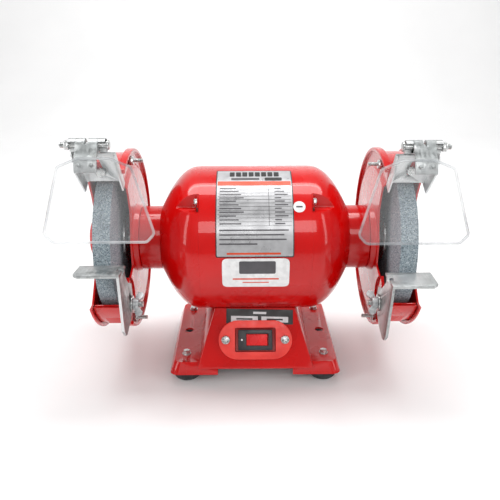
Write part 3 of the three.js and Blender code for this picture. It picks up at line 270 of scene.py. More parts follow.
def hex_body(flats, start, end):
    """A hexagon along X with the round chamfer of a nut or bolt head."""
    radius = flats / 2 / math.cos(math.pi / 6)
    shape = bmesh.new()
    bmesh.ops.create_cone(shape, cap_ends=True, segments=6, radius1=radius, radius2=radius,
                          depth=end - start)
    bmesh.ops.rotate(shape, verts=shape.verts, matrix=Matrix.Rotation(math.pi / 2, 3, "Y"))
    bmesh.ops.translate(shape, verts=shape.verts, vec=((start + end) / 2, 0, 0))
    return softened(shape, flats * 0.045, 2)


def mesh_of(name, shape):
    mesh = bpy.data.meshes.new(name)
    shape.to_mesh(mesh)
    shape.free()
    return mesh


def placed(name, data):
    """A new object in the scene."""
    made = bpy.data.objects.new(name, data)
    bpy.context.scene.collection.objects.link(made)
    return made


def joined(*shapes):
    whole = bmesh.new()
    for shape in shapes:
        mesh = mesh_of("part", shape)
        whole.from_mesh(mesh)
        bpy.data.meshes.remove(mesh)
    return whole


def both(make):
    """What make gives for the two sides, -1 and 1, as one shape."""
    return joined(*[make(side) for side in (-1, 1)])


def combined(shape, other, operation):
    """Cuts or fuses two closed shapes, or keeps what they share."""
    pair = [placed("part", mesh_of("part", part)) for part in (shape, other)]
    modifier = pair[0].modifiers.new("part", "BOOLEAN")
    modifier.object = pair[1]
    modifier.operation = operation
    modifier.solver = "EXACT"
    ready = pair[0].evaluated_get(bpy.context.evaluated_depsgraph_get())
    result = bmesh.new()
    result.from_mesh(ready.to_mesh())
    ready.to_mesh_clear()
    for part in pair:
        mesh = part.data
        bpy.data.objects.remove(part)
        bpy.data.meshes.remove(mesh)
    bmesh.ops.dissolve_degenerate(result, dist=1e-3, edges=result.edges)
    return result


def cad_shape(*nodes):
    """A clean copy of nodes of the frame, in millimetres from the middle of the shaft."""
    shape = bmesh.new()
    for node in nodes:
        shape.from_mesh(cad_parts[node].data)
    bmesh.ops.remove_doubles(shape, verts=shape.verts, dist=1e-6)
    bmesh.ops.translate(shape, vec=-SHAFT, verts=shape.verts)
    bmesh.ops.scale(shape, vec=(1 / MM,) * 3, verts=shape.verts)
    bmesh.ops.dissolve_limit(shape, angle_limit=math.radians(0.6), verts=shape.verts,
                             edges=shape.edges)
    return shape


def piece(name, shape, finishes, body, nodes=(), hand="right", crease=32):
    """Puts a finished shape in place and lets it ride on its body."""
    if hand == "left":
        mirrored(shape)
    bmesh.ops.scale(shape, vec=(MM, MM, MM), verts=shape.verts)
    bmesh.ops.translate(shape, vec=SHAFT, verts=shape.verts)
    for face in shape.faces:
        face.smooth = True
    for edge in shape.edges:
        if sharp(edge, crease):
            edge.smooth = False
    made = placed(name, mesh_of(name, shape))
    for finish in finishes if isinstance(finishes, (list, tuple)) else [finishes]:
        made.data.materials.append(finish)
    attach(made, body)
    if nodes:
        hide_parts(*nodes)
    return made


def painted_faces(shape, index, wanted):
    """Gives the faces that wanted accepts the finish of that index."""
    for face in shape.faces:
        if wanted(face):
            face.material_index = index
    return shape


# ---------------------------------------------------------------- finishes


def linear(red, green, blue):
    """Screen colour from 0 to 255, as the linear colour that a shader takes."""
    def one(value):
        value /= 255
        return value / 12.92 if value <= 0.04045 else ((value + 0.055) / 1.055) ** 2.4
    return (one(red), one(green), one(blue), 1.0)


class Finish:
    """A material with a shader, and short ways to wire patterns to it."""

    def __init__(self, name, colour, roughness, metallic=0.0, **sockets):
        self.material = bpy.data.materials.new(name)
        self.material.use_nodes = True
        self.nodes = self.material.node_tree.nodes
        self.links = self.material.node_tree.links
        self.shader = self.nodes["Principled BSDF"]
        self.shader.inputs["Base Color"].default_value = colour
        self.shader.inputs["Roughness"].default_value = roughness
        self.shader.inputs["Metallic"].default_value = metallic
        for socket, value in sockets.items():
            self.shader.inputs[socket.replace("_", " ")].default_value = value
        self.place = self.nodes.new("ShaderNodeTexCoord").outputs["Object"]

    def mapped(self, scale):
        mapping = self.nodes.new("ShaderNodeMapping")
        mapping.inputs["Scale"].default_value = scale
        self.links.new(self.place, mapping.inputs["Vector"])
        return mapping.outputs["Vector"]

    def noise(self, scale, detail=3.0, stretch=None, distortion=0.0):
        node = self.nodes.new("ShaderNodeTexNoise")
        node.inputs["Scale"].default_value = scale
        node.inputs["Detail"].default_value = detail
        node.inputs["Distortion"].default_value = distortion
        self.links.new(self.mapped(stretch) if stretch else self.place, node.inputs["Vector"])
        return node.outputs["Fac"]

    def cells(self, scale, output="Color"):
        node = self.nodes.new("ShaderNodeTexVoronoi")
        node.inputs["Scale"].default_value = scale
        self.links.new(self.place, node.inputs["Vector"])
        return node.outputs[output]

    def spread(self, source, low, high, start=0.35, end=0.65):
        """Turns a pattern's values between start and end into values between low and high."""
        node = self.nodes.new("ShaderNodeMapRange")
        for socket, value in (("From Min", start), ("From Max", end), ("To Min", low), ("To Max", high)):
            node.inputs[socket].default_value = value
        self.links.new(source, node.inputs["Value"])
        return node.outputs["Result"]

    def blended(self, share, first, second):
        node = self.nodes.new("ShaderNodeMix")
        node.data_type = "RGBA"
        self.links.new(share, node.inputs["Factor"])
        for socket, colour in ((node.inputs[6], first), (node.inputs[7], second)):
            if isinstance(colour, tuple):
                socket.default_value = colour
            else:
                self.links.new(colour, socket)
        return node.outputs[2]

    def edges(self, start=0.53, end=0.6):
        """1 on worn outer edges, 0 elsewhere."""
        geometry = self.nodes.new("ShaderNodeNewGeometry")
        return self.spread(geometry.outputs["Pointiness"], 0.0, 1.0, start, end)

    def product(self, first, second):
        node = self.nodes.new("ShaderNodeMath")
        node.operation = "MULTIPLY"
        self.links.new(first, node.inputs[0])
        if isinstance(second, float):
            node.inputs[1].default_value = second
        else:
            self.links.new(second, node.inputs[1])
        return node.outputs[0]

    def colour(self, source):
        self.links.new(source, self.shader.inputs["Base Color"])
        return self

    def rough(self, source):
        self.links.new(source, self.shader.inputs["Roughness"])
        return self

    def mottled(self, scale, detail, first, second):
        """Lets the colour drift between two shades."""
        return self.colour(self.blended(self.spread(self.noise(scale, detail), 0.0, 1.0), first, second))

    def uneven(self, scale, detail, low, high, stretch=None):
        """Lets the roughness drift between two values."""
        return self.rough(self.spread(self.noise(scale, detail, stretch), low, high))

    def bump(self, source, depth):
        """Raises the surface by depth metres where the pattern is 1."""
        node = self.nodes.new("ShaderNodeBump")
        node.inputs["Strength"].default_value = 1.0
        node.inputs["Distance"].default_value = depth
        self.links.new(source, node.inputs["Height"])
        if self.shader.inputs["Normal"].is_linked:
            self.links.new(self.shader.inputs["Normal"].links[0].from_socket, node.inputs["Normal"])
        self.links.new(node.outputs["Normal"], self.shader.inputs["Normal"])
        return self


def gloss_enamel():
    """Thick glossy red enamel: slight orange peel, faint dust and dull patches."""
    paint = Finish("gloss_enamel", linear(200, 4, 4), 0.4, Specular_IOR_Level=0.15,
                   Coat_Weight=0.7, Coat_Roughness=0.03)
    shade = paint.blended(paint.spread(paint.noise(14.0, 4.0), 0.0, 1.0),
                          linear(192, 3, 3), linear(210, 6, 5))
    dusty = paint.product(paint.spread(paint.noise(300.0, 6.0), 0.0, 1.0, 0.66, 0.82), 0.08)
    paint.colour(paint.blended(dusty, shade, linear(206, 120, 110)))
    paint.uneven(35.0, 5.0, 0.22, 0.36)
    return paint.bump(paint.noise(420.0, 2.0), 0.00003).material


def galvanised_sheet():
    """Zinc-coated sheet: faint crystal flakes, drawn streaks and bright cut edges."""
    zinc = Finish("galvanised_sheet", linear(168, 172, 172), 0.4, metallic=0.85)
    flakes = zinc.cells(260.0)
    flat = zinc.nodes.new("ShaderNodeSeparateColor")
    zinc.links.new(flakes, flat.inputs["Color"])
    shade = zinc.blended(zinc.spread(flat.outputs["Red"], 0.0, 1.0, 0.0, 1.0),
                         linear(150, 154, 154), linear(186, 190, 190))
    stained = zinc.spread(zinc.noise(45.0, 5.0), 0.0, 0.5, 0.5, 0.75)
    shade = zinc.blended(stained, shade, linear(122, 120, 114))
    zinc.colour(zinc.blended(zinc.edges(0.54, 0.62), shade, linear(222, 224, 224)))
    zinc.uneven(900.0, 3.0, 0.3, 0.55, (1, 0.06, 0.06))
    zinc.bump(flat.outputs["Green"], 0.00001)
    return zinc.bump(zinc.noise(70.0, 3.0), 0.0001).material


def plated_fastener():
    """Bright zinc plating on bolts and nuts, scuffed by the spanner."""
    plate = Finish("plated_fastener", linear(196, 198, 198), 0.28, metallic=0.95)
    shade = plate.blended(plate.spread(plate.noise(400.0, 4.0), 0.0, 1.0),
                          linear(176, 178, 176), linear(214, 216, 216))
    plate.colour(plate.blended(plate.edges(0.55, 0.64), shade, linear(236, 236, 234)))
    plate.uneven(700.0, 4.0, 0.18, 0.42)
    return plate.bump(plate.noise(1500.0, 2.0), 0.00002).material


def cast_zinc():
    """Grainy die-cast grey of the wing nuts."""
    cast = Finish("cast_zinc", linear(182, 184, 186), 0.46, metallic=0.6)
    cast.mottled(300.0, 5.0, linear(164, 167, 169), linear(206, 208, 209))
    cast.uneven(600.0, 3.0, 0.38, 0.62)
    return cast.bump(cast.noise(1100.0, 4.0), 0.00008).material


def turned_steel():
    """Machined steel with fine tool marks round the shaft line."""
    steel = Finish("turned_steel", linear(158, 160, 162), 0.3, metallic=1.0)
    round_marks = (1, 0.02, 0.02)
    steel.mottled(120.0, 4.0, linear(140, 142, 144), linear(190, 192, 194))
    steel.uneven(2500.0, 2.0, 0.2, 0.42, round_marks)
    return steel.bump(steel.noise(2500.0, 2.0, stretch=round_marks), 0.00002).material


def bonded_grit():
    """Blue-grey vitrified abrasive: pale and dark grains in a porous bond."""
    grit = Finish("bonded_grit", linear(138, 152, 160), 0.9)
    grains = grit.nodes.new("ShaderNodeSeparateColor")
    grit.links.new(grit.cells(1250.0), grains.inputs["Color"])
    shade = grit.blended(grit.spread(grains.outputs["Red"], 0.0, 1.0, 0.1, 0.9),
                         linear(122, 136, 144), linear(168, 181, 188))
    dark = grit.spread(grains.outputs["Green"], 0.0, 0.75, 0.84, 0.92)
    pale = grit.spread(grains.outputs["Blue"], 0.0, 0.7, 0.86, 0.94)
    shade = grit.blended(pale, grit.blended(dark, shade, linear(66, 76, 84)), linear(206, 214, 218))
    loaded = grit.spread(grit.noise(40.0, 4.0), 0.0, 0.35, 0.52, 0.72)
    grit.colour(grit.blended(loaded, shade, linear(104, 110, 114)))
    grit.bump(grit.cells(1250.0, "Distance"), 0.0003)
    return grit.bump(grit.noise(1600.0, 3.0), 0.0002).material


def foot_rubber():
    rubber = Finish("foot_rubber", linear(52, 56, 58), 0.8)
    rubber.mottled(150.0, 5.0, linear(40, 43, 45), linear(72, 76, 78))
    rubber.uneven(80.0, 3.0, 0.7, 0.92)
    return rubber.bump(rubber.noise(1200.0, 3.0), 0.00008).material


def moulded(name, dark, pale, roughness=(0.32, 0.5), grain=0.00003):
    """Moulded plastic with a fine spark-eroded grain."""
    plastic = Finish(name, pale, 0.4)
    plastic.mottled(60.0, 4.0, dark, pale)
    plastic.uneven(180.0, 4.0, *roughness)
    return plastic.bump(plastic.noise(2200.0, 2.0), grain).material


def clear_sheet(name, opacity, colour, roughness):
    """Clear moulded plastic, faintly hazy with fine scratches."""
    clear = Finish(name, colour, roughness, Alpha=opacity, IOR=1.49, Specular_IOR_Level=0.55)
    scratches = clear.noise(900.0, 4.0, stretch=(1, 0.15, 0.12), distortion=0.4)
    clear.rough(clear.spread(scratches, roughness, roughness + 0.16, 0.55, 0.75))
    clear.mottled(30.0, 3.0, colour, linear(232, 236, 238))
    clear.bump(scratches, 0.00001)
    clear.material.surface_render_method = "BLENDED"
    return clear.material


def printed(name, colour, roughness=0.35, metallic=0.0):
    """Ink or foil on a label, slightly uneven."""
    ink = Finish(name, colour, roughness, metallic)
    darker = tuple(value * 0.86 for value in colour[:3]) + (1.0,)
    ink.mottled(180.0, 5.0, darker, colour)
    ink.uneven(90.0, 3.0, roughness * 0.8, roughness * 1.3)
    return ink.bump(ink.noise(700.0, 3.0), 0.00001).material


ENAMEL = gloss_enamel()
GALVANISED = galvanised_sheet()
FASTENER = plated_fastener()
CAST = cast_zinc()
STEEL = turned_steel()
GRIT = bonded_grit()
RUBBER = foot_rubber()
CORAL = moulded("coral_plastic", linear(226, 52, 46), linear(246, 72, 62))
# Darker red for the switch plate's recess: painted shade in the recess.
RECESS_SHADE = moulded("recess_painted_shade", linear(150, 26, 24), linear(176, 34, 30))
BLACK = moulded("black_plastic", linear(36, 36, 39), linear(58, 58, 62))
ROCKER_RED = moulded("rocker_plastic", linear(212, 26, 30), linear(232, 44, 46), (0.2, 0.34))
CREAM = moulded("cream_plastic", linear(196, 190, 172), linear(222, 216, 200))
WHITE_DOT = printed("white_mark", linear(238, 238, 236))
COPPER = moulded("enamelled_wire", linear(140, 70, 26), linear(186, 104, 48), (0.2, 0.4), 0.0003)
SHIELD = clear_sheet("shield_sheet", 0.07, linear(244, 246, 248), 0.06)
# Grey, denser finish for the shield's edges and raised rim: painted shade for how the clear edges bend the
# light.
SHIELD_EDGE_SHADE = clear_sheet("shield_rim_shade", 0.5, linear(150, 156, 160), 0.12)
SILVER_FOIL = printed("silver_foil", linear(190, 190, 192), 0.32, 0.35)
BLACK_INK = printed("black_ink", linear(30, 28, 30), 0.4)
GREY_INK = printed("grey_ink", linear(84, 82, 86), 0.45)
ORANGE_INK = printed("orange_ink", linear(226, 74, 34), 0.35)
WHITE_FILM = printed("white_film", linear(240, 240, 240), 0.3)
# Near-black fill for the vent slots and the switch well: painted shade where the openings fall dark.
SHADOW_FILL = moulded("painted_shadow_fill", linear(16, 14, 15), linear(26, 22, 22), (0.6, 0.8))

# ---------------------------------------------------------------- motor


def motor_barrel():
    """The rolled casing, butted close against the bells."""
    inner = MOTOR_RADIUS - 2
    profile = [(inner, -BELL_SEAM), (MOTOR_RADIUS, -BELL_SEAM), (MOTOR_RADIUS, BELL_SEAM),
               (inner, BELL_SEAM)]
    piece("casing", turned(profile, 160), ENAMEL, "frame", ["motor_barrel"])


def end_bell(hand):
    """A domed end with its long neck and the two vent pockets, front and rear."""
    outside = BELL_CURVE + filleted(
        [(NECK_RADIUS, 96.0), (NECK_RADIUS, NECK_END), (SHAFT_HOLE_RADIUS, NECK_END)], 0.8,
        closed=False)
    inside = [(SHAFT_HOLE_RADIUS, 88.0)] + [
        (radius - BELL_WALL, along - BELL_WALL * 0.6)
        for radius, along in reversed(BELL_CURVE) if radius > NECK_RADIUS + 6 and along > 55
    ] + [(MOTOR_RADIUS - BELL_WALL, 51.25)]
    shell = turned(outside + inside, 144)
    full = turned([(0, BELL_SEAM), (MOTOR_RADIUS, BELL_SEAM)] + outside[:-1] + [(0, NECK_END)], 144,
                  closed=False)
    start = BARREL_HALF
    length = VENT_END - start
    reach = MOTOR_RADIUS - VENT_BACK
    height = MOTOR_RADIUS - VENT_FLOOR
    liners = both(lambda side: block(
        (length, reach + VENT_WALL, height + VENT_WALL),
        (start + length / 2, side * (VENT_BACK + reach / 2 - VENT_WALL / 2),
         VENT_FLOOR + height / 2 - VENT_WALL / 2)))
    pockets = both(lambda side: softened(block(
        (length + 2, reach + 4, height + 4),
        (start + length / 2 - 1, side * (VENT_BACK + reach / 2 + 2),
         VENT_FLOOR + height / 2 + 2)), 1.6, 4))
    linings = combined(full, liners, "INTERSECT")
    shape = combined(combined(shell, linings, "UNION"), pockets, "DIFFERENCE")
    piece(f"bell_{hand}", shape, ENAMEL, "frame", [f"end_bell_{hand}"], hand, 28)
    core = disc(MOTOR_RADIUS - 0.4, 51.5, 53.0, 144)
    walls = both(lambda side: block((1.0, 28, 26), (52.0, side * (VENT_BACK + 14), VENT_FLOOR + 13)))
    piece(f"vent_end_{hand}", combined(walls, core, "INTERSECT"), ENAMEL, "frame", hand=hand)
    # Dark blocks in the vent end walls: painted shade standing in for the slots' shadowed insides.
    slot_shadows = both(lambda side: block((0.9, 13, 2.6), (52.4, side * (VENT_BACK + 7.5), VENT_FLOOR + 2.2)))
    piece(f"vent_slot_shadow_{hand}", slot_shadows, SHADOW_FILL, "frame", hand=hand)
    heads = both(lambda side: moved(hex_body(6.0, 52.4, 55.2),
                                    (0, side * (VENT_BACK + 6.5), VENT_FLOOR + 7.5)))
    piece(f"through_bolt_{hand}", heads, FASTENER, "frame", hand=hand)


DEGREES = math.degrees(1 / MOTOR_RADIUS)     # that one millimetre takes up round the casing


def wrapped(outline, thickness, lift):
    """A film of that outline (along the shaft, degrees up from the front) laid round the casing."""
    shape = bmesh.new()
    shape.faces.new([shape.verts.new((along, angle, 0)) for along, angle in outline])
    low, high = min(p[1] for p in outline), max(p[1] for p in outline)
    for step in range(math.ceil(low / 3), math.floor(high / 3) + 1):
        bmesh.ops.bisect_plane(shape, geom=shape.faces[:] + shape.edges[:] + shape.verts[:],
                               plane_co=(0, step * 3 + 0.01, 0), plane_no=(0, 1, 0), dist=1e-4)
    raised(shape, shape.faces[:], (0, 0, thickness))
    for vert in shape.verts:
        angle = math.radians(vert.co.y)
        distance = MOTOR_RADIUS + lift + vert.co.z
        vert.co = (vert.co.x, -distance * math.cos(angle), distance * math.sin(angle))
    bmesh.ops.recalc_face_normals(shape, faces=shape.faces)
    return shape


def film(name, outlines, finish, thickness, lift):
    """A printed film on the casing, lift millimetres above the paint."""
    piece(name, joined(*[wrapped(outline, thickness, lift) for outline in outlines]), finish, "frame")


def panel(left, right, low, high, corner=0.0):
    """A rectangle's outline, its corners rounded by that many millimetres."""
    points = [(left, low), (right, low), (right, high), (left, high)]
    if corner <= 0:
        return points
    scaled = [(a, b / DEGREES) for a, b in points]
    return [(a, b * DEGREES) for a, b in filleted(scaled, corner, 5)]


def rating_plate():
    """Silver foil with a black border, a colour band and a ruled table of plain bars."""
    left, right, low, high = -36.0, 34.5, 6.3, 83.0
    layers = [(BLACK_INK, [panel(left, right, low, high, 2.0)], 0.0),
              (SILVER_FOIL, [panel(left + 1, right - 1, low + 0.8, high - 0.8, 1.4)], 0.12)]
    height = high - low
    ink, grey, band = [], [], []
    title_low, title_high = high - 0.125 * height, high - 0.04 * height
    ink += [panel(x, x + 4.6, title_low, title_high, 0.9)
            for x in (-23.5, -17.6, -11.7, -5.8, 0.1, 6.0, 11.9, 17.8)]
    grey += [panel(-22, 4, high - 0.185 * height, high - 0.15 * height)]
    ink += [panel(9, 25, high - 0.195 * height, high - 0.145 * height, 1.4)]
    band += [panel(left + 1.6, right - 1.6, high - 0.265 * height, high - 0.205 * height)]
    rows = 11
    table_high, table_low = high - 0.285 * height, low + 0.3 * height
    pitch = (table_high - table_low) / rows
    for row in range(rows):
        middle = table_high - (row + 0.5) * pitch
        words = 15 + 7 * ((row * 5) % 4) / 3
        grey.append(panel(left + 3.5, left + 3.5 + words, middle - 0.45, middle + 0.45))
        grey.append(panel(right - 17, right - 17 + 6 + 3 * (row % 3), middle - 0.45, middle + 0.45))
        ink.append(panel(left + 2, right - 2, middle - pitch / 2 - 0.08, middle - pitch / 2 + 0.08))
    ink.append(panel(12.0, 12.35, table_low, table_high))
    for row, length in enumerate((62, 58, 60, 34)):
        middle = table_low - 3.2 - row * 3.3
        grey.append(panel(left + 3.5, left + 3.5 + length, middle - 0.5, middle + 0.5))
    band.append(panel(left + 10, right - 12, low + 2.2, low + 3.6))
    layers += [(ORANGE_INK, band, 0.24), (BLACK_INK, ink, 0.25), (GREY_INK, grey, 0.25)]
    for number, (finish, outlines, lift) in enumerate(layers):
        film(f"rating_plate_{number}", outlines, finish, 0.12, lift)


def maker_label():
    """A white label with rounded corners, carrying only plain bars."""
    film("white_label", [panel(-30.5, 30.5, -18.5, 5.6, 5.0)], WHITE_FILM, 0.12, 0.26)
    film("white_label_bar", [panel(-15, 18, -6.5, 3.5, 1.6)], GREY_INK, 0.1, 0.4)
    film("white_label_lines", [panel(-21, 21, -11.6, -10.4), panel(-12, 12, -14.6, -13.8)],
         ORANGE_INK, 0.1, 0.4)


def round_sticker():
    along, up, radius, sides = 39.5, 43.5, 5.5, 36
    circle = [(along + radius * math.cos(t * FULL_TURN / sides),
               up + radius * math.sin(t * FULL_TURN / sides) * DEGREES) for t in range(sides)]
    film("round_sticker", [circle], WHITE_FILM, 0.12, 0.02)
    film("round_sticker_mark", [panel(36.6, 42.4, 42.9, 44.1)], GREY_INK, 0.1, 0.16)


motor_barrel()
for side_name in ("left", "right"):
    end_bell(side_name)
rating_plate()
maker_label()
round_sticker()
for finish, inner_nodes in ((COPPER, ("winding_left", "winding_right")),
                            (STEEL, ("stator_core", "rotor_core", "bearing_left", "bearing_right")),
                            (CREAM, ("capacitor", "terminal_block"))):
    for inner in inner_nodes:
        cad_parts[inner].data.materials[0] = finish

# ---------------------------------------------------------------- wheels and shaft


def shaft_piece():
    start = WHEEL_FACES[0] - GAP - FLANGE_THICKNESS - GAP
    end = shaft_high.x / MM
    half = filleted([(7.5, 0), (7.5, start), (SPINDLE_RADIUS, start), (SPINDLE_RADIUS, end), (0, end)],
                    0.5, closed=False)
    other = [(radius, -along) for radius, along in reversed(half)][:-1]
    piece("spindle", turned(other + half, 64, closed=False), STEEL, "rotor", ["shaft"])


def grinding_wheel(hand):
    """The wheel, and the two flanges and nut that clamp it."""
    low, high = WHEEL_FACES
    bore = SPINDLE_RADIUS + GAP
    profile = filleted([(bore, low), (WHEEL_RADIUS, low), (WHEEL_RADIUS, high), (bore, high)],
                       [0, 1.1, 1.1, 0], 3)
    piece(f"wheel_{hand}", turned(profile, 160), GRIT, "rotor", [f"grinding_wheel_{hand}"],
          hand)
    start = low - GAP - FLANGE_THICKNESS
    inner = filleted([(bore, start), (15, start), (FLANGE_RADIUS, start + 2.2), (FLANGE_RADIUS, low - GAP),
                      (bore, low - GAP)], [0, 1, 0.6, 0.2, 0], 3)
    piece(f"flange_inside_{hand}", turned(inner, 96), FASTENER, "rotor", [f"inner_flange_{hand}"],
          hand)
    outer = filleted([(bore, high + GAP), (FLANGE_RADIUS, high + GAP), (FLANGE_RADIUS, high + 2.6),
                      (15, high + GAP + FLANGE_THICKNESS), (bore, high + GAP + FLANGE_THICKNESS)],
                     [0, 0.2, 0.6, 1, 0], 3)
    piece(f"flange_outside_{hand}", turned(outer, 96), STEEL, "rotor", [f"outer_flange_{hand}"],
          hand)
    nut = softened(cad_shape(f"wheel_nut_{hand}"), 0.5)
    piece(f"spindle_nut_{hand}", nut, STEEL, "rotor", [f"wheel_nut_{hand}"])


shaft_piece()
for side_name in ("left", "right"):
    grinding_wheel(side_name)

# ---------------------------------------------------------------- fasteners


def threaded(radius, start, end, pitch=0.8):
    """A bolt's threaded end: rings of the thread's depth, closed at both ends."""
    depth = pitch * 0.5
    profile = [(0, start), (radius - depth, start)]
    turns = int((end - start) / pitch)
    for turn in range(turns):
        profile += [(radius - depth, start + (turn + 0.12) * pitch), (radius, start + (turn + 0.5) * pitch),
                    (radius - depth, start + (turn + 0.88) * pitch)]
    profile += [(radius - depth, end), (0, end)]
    return turned(profile, 24, closed=False)


def plain_rod(radius, start, end):
    return solid_turned([(0, start), (radius, start), (radius, end), (0, end)], 0.4)


def cover_bolt(hand, number, degrees):
    """A pan-head screw through the guard, its hex nut on the motor side and the thread beyond."""
    place = (0, -COVER_BOLT_CIRCLE * math.cos(math.radians(degrees)),
             COVER_BOLT_CIRCLE * math.sin(math.radians(degrees)))
    seat = PLATE_GROOVE - GAP
    head = COVER_FACE + COVER_RIM_DEPTH + GAP
    parts = joined(threaded(2.0, 106.2, seat - 3, 0.75), plain_rod(1.9, seat - 3.5, head + 1),
                   hex_body(8.0, seat - 4.3, seat),
                   solid_turned([(0, head), (4, head), (3.8, head + 1.6), (0, head + 2.6)],
                                [0, 0.3, 1.2, 0], 4))
    piece(f"guard_screw_{hand}_{number}", moved(parts, place), FASTENER, "frame",
          [f"cover_bolt_{hand}_{number}"], hand)


for side_name, angles in COVER_BOLT_ANGLES.items():
    for index, angle in enumerate(angles):
        cover_bolt(side_name, index + 1, angle)

# ---------------------------------------------------------------- wheel guards


def strip(first, second, thickness):
    """The outline of a straight strip of sheet between two points in depth and height."""
    a, b = Vector(first), Vector(second)
    side = Vector((-(b - a).y, (b - a).x)).normalized() * thickness / 2
    return [tuple(a - side), tuple(b - side), tuple(b + side), tuple(a + side)]


def opened(shape, end):
    """Cuts the mouth of the guard out of a shape."""
    return combined(shape, drawn_out(filleted(MOUTH, MOUTH_ROUND), CUT_START, end), "DIFFERENCE")


def guard_shell():
    """Inner plate, rolled rim and band, pressed round the bolt circle and cut open at the mouth."""
    inner = BAND_RADIUS - GUARD_SHEET
    groove = RIM_RADIUS - 3.6
    neck = NECK_END + GAP
    boss = NECK_RADIUS + 0.5
    corners = [
        (SHAFT_HOLE_RADIUS, neck, 0), (boss, neck, 1.5), (boss + 1.5, PLATE_FACE, 2.0),
        (GROOVE_INNER - 5, PLATE_FACE, 2.5), (GROOVE_INNER, PLATE_GROOVE, 2.5),
        (groove, PLATE_GROOVE, 0.9), (groove, RIM_START, 1.2), (RIM_RADIUS, RIM_START, 1.7),
        (RIM_RADIUS, RIM_END, 1.4), (BAND_RADIUS, RIM_END, 1.2), (BAND_RADIUS, COVER_FACE - GAP, 0.3),
        (inner, COVER_FACE - GAP, 0.3), (inner, PLATE_GROOVE + GUARD_SHEET, 2.0),
        (GROOVE_INNER, PLATE_GROOVE + GUARD_SHEET, 2.0), (GROOVE_INNER - 5, PLATE_FACE + GUARD_SHEET, 2.0),
        (boss, PLATE_FACE + GUARD_SHEET, 2.0), (boss - 2, neck + GUARD_SHEET, 1.2),
        (SHAFT_HOLE_RADIUS, neck + GUARD_SHEET, 0)]
    shell = turned(rounded(corners), 160)
    pad_face = REST_LEG_FACE + GAP
    clearing = moved(disc(REST_PAD_RADIUS, CUT_START, pad_face, 64), (0, *REST_PIVOT))
    pad = moved(disc(REST_PAD_RADIUS, pad_face, PLATE_GROOVE + GUARD_SHEET, 64), (0, *REST_PIVOT))
    limit = disc(RIM_RADIUS - 1, pad_face - 1, 124, 96)
    shape = combined(shell, clearing, "DIFFERENCE")
    shape = combined(shape, combined(pad, limit, "INTERSECT"), "UNION")
    return opened(shape, 160)


def guard_lip():
    """The flat lip below the mouth; its outer end is cut back along a slant."""
    end = COVER_FACE - GAP
    shape = drawn_out(strip(LIP_TOP, LIP_BOTTOM, GUARD_SHEET), PLATE_GROOVE, end)
    for vert in shape.verts:
        share = (LIP_TOP[1] - vert.co.z) / (LIP_TOP[1] - LIP_BOTTOM[1])
        if vert.co.x > end - 1:
            vert.co.x = end - (end - LIP_SHORT_END) * share
    return softened(shape, 0.4)


def deflector_tab(hand):
    """The tab that the deflector is clamped to: taken from the frame, clear of the plate."""
    source = cad_shape(f"guard_plate_{hand}")
    side = SIGN[hand]
    for point, normal in (((side * TAB_NEAR, 0, 0), (-side, 0, 0)),
                          ((side * (COVER_FACE + 3), 0, 0), (side, 0, 0)),
                          ((0, TAB_FRONT, 0), (0, -1, 0)), ((0, 0, TAB_FOOT), (0, 0, -1)),
                          ((0, TAB_BACK, 0), (0, 1, 0))):
        bmesh.ops.bisect_plane(source, geom=source.faces[:] + source.edges[:] + source.verts[:],
                               plane_co=point, plane_no=normal, clear_outer=True)
    open_edges = [e for e in source.edges if len(e.link_faces) == 1]
    bmesh.ops.holes_fill(source, edges=open_edges, sides=0)
    bmesh.ops.recalc_face_normals(source, faces=source.faces)
    return mirrored(source) if hand == "left" else source


def guard(hand):
    shape = joined(guard_shell(), guard_lip(), deflector_tab(hand))
    piece(f"guard_{hand}", shape, ENAMEL, "frame", [f"guard_plate_{hand}"], hand, 26)
    face = COVER_FACE + COVER_RIM_DEPTH
    foot = COVER_BULGE_RADIUS + COVER_BULGE_SLOPE
    corners = [
        (0, face + COVER_BULGE, 0), (COVER_BULGE_RADIUS, face + COVER_BULGE, 4.0), (foot, face, 2.5),
        (RIM_RADIUS, face, 1.6), (RIM_RADIUS, COVER_FACE, 0.4), (RIM_RADIUS - 3, COVER_FACE, 0.3),
        (RIM_RADIUS - 3, face - GUARD_SHEET, 0.8), (foot - 1, face - GUARD_SHEET, 2.0),
        (COVER_BULGE_RADIUS - 1, face - GUARD_SHEET + COVER_BULGE, 3.0),
        (0, face - GUARD_SHEET + COVER_BULGE, 0)]
    cover = opened(turned(rounded(corners, closed=False), 160, closed=False), 180)
    piece(f"cover_{hand}", cover, ENAMEL, "frame", [f"guard_cover_{hand}"], hand, 26)


for side_name in ("left", "right"):
    guard(side_name)

# ---------------------------------------------------------------- tool rests


def sheet_piece(name, node, body, finish=GALVANISED, width=0.45, angle=30):
    """A folded sheet as the frame has it, with its cut edges rounded over."""
    return piece(name, softened(cad_shape(node), width, 2, angle), finish, body, [node])


def rest_fasteners(hand):
    """Washer, clamp bolt and wing nut of a tool rest."""
    outer = REST_LEG_FACE - REST_SHEET - GAP
    washer = turned(filleted([(3.3, outer - 1.4), (8, outer - 1.4), (8, outer), (3.3, outer)], 0.3), 48)
    piece(f"clamp_washer_{hand}", moved(washer, (0, *REST_PIVOT)), FASTENER, f"clamp_{hand}",
          [f"rest_washer_{hand}"], hand)
    near, far = span(f"rest_bolt_{hand}")
    bolt = joined(threaded(3.0, near, outer - 1, 1.0), plain_rod(2.9, outer - 1.5, far - 2),
                  hex_body(10.0, far - 3.0, far))
    piece(f"clamp_bolt_{hand}", moved(bolt, (0, *REST_PIVOT)), FASTENER, "frame",
          [f"rest_bolt_{hand}"], hand)
    nut = softened(cad_shape(f"wing_nut_{hand}"), 0.5, 2, 35)
    piece(f"ear_nut_{hand}", nut, CAST, f"wing_{hand}", [f"wing_nut_{hand}"], crease=50)


for side_name in ("left", "right"):
    sheet_piece(f"rest_{side_name}", f"tool_rest_{side_name}", f"rest_{side_name}")
    rest_fasteners(side_name)

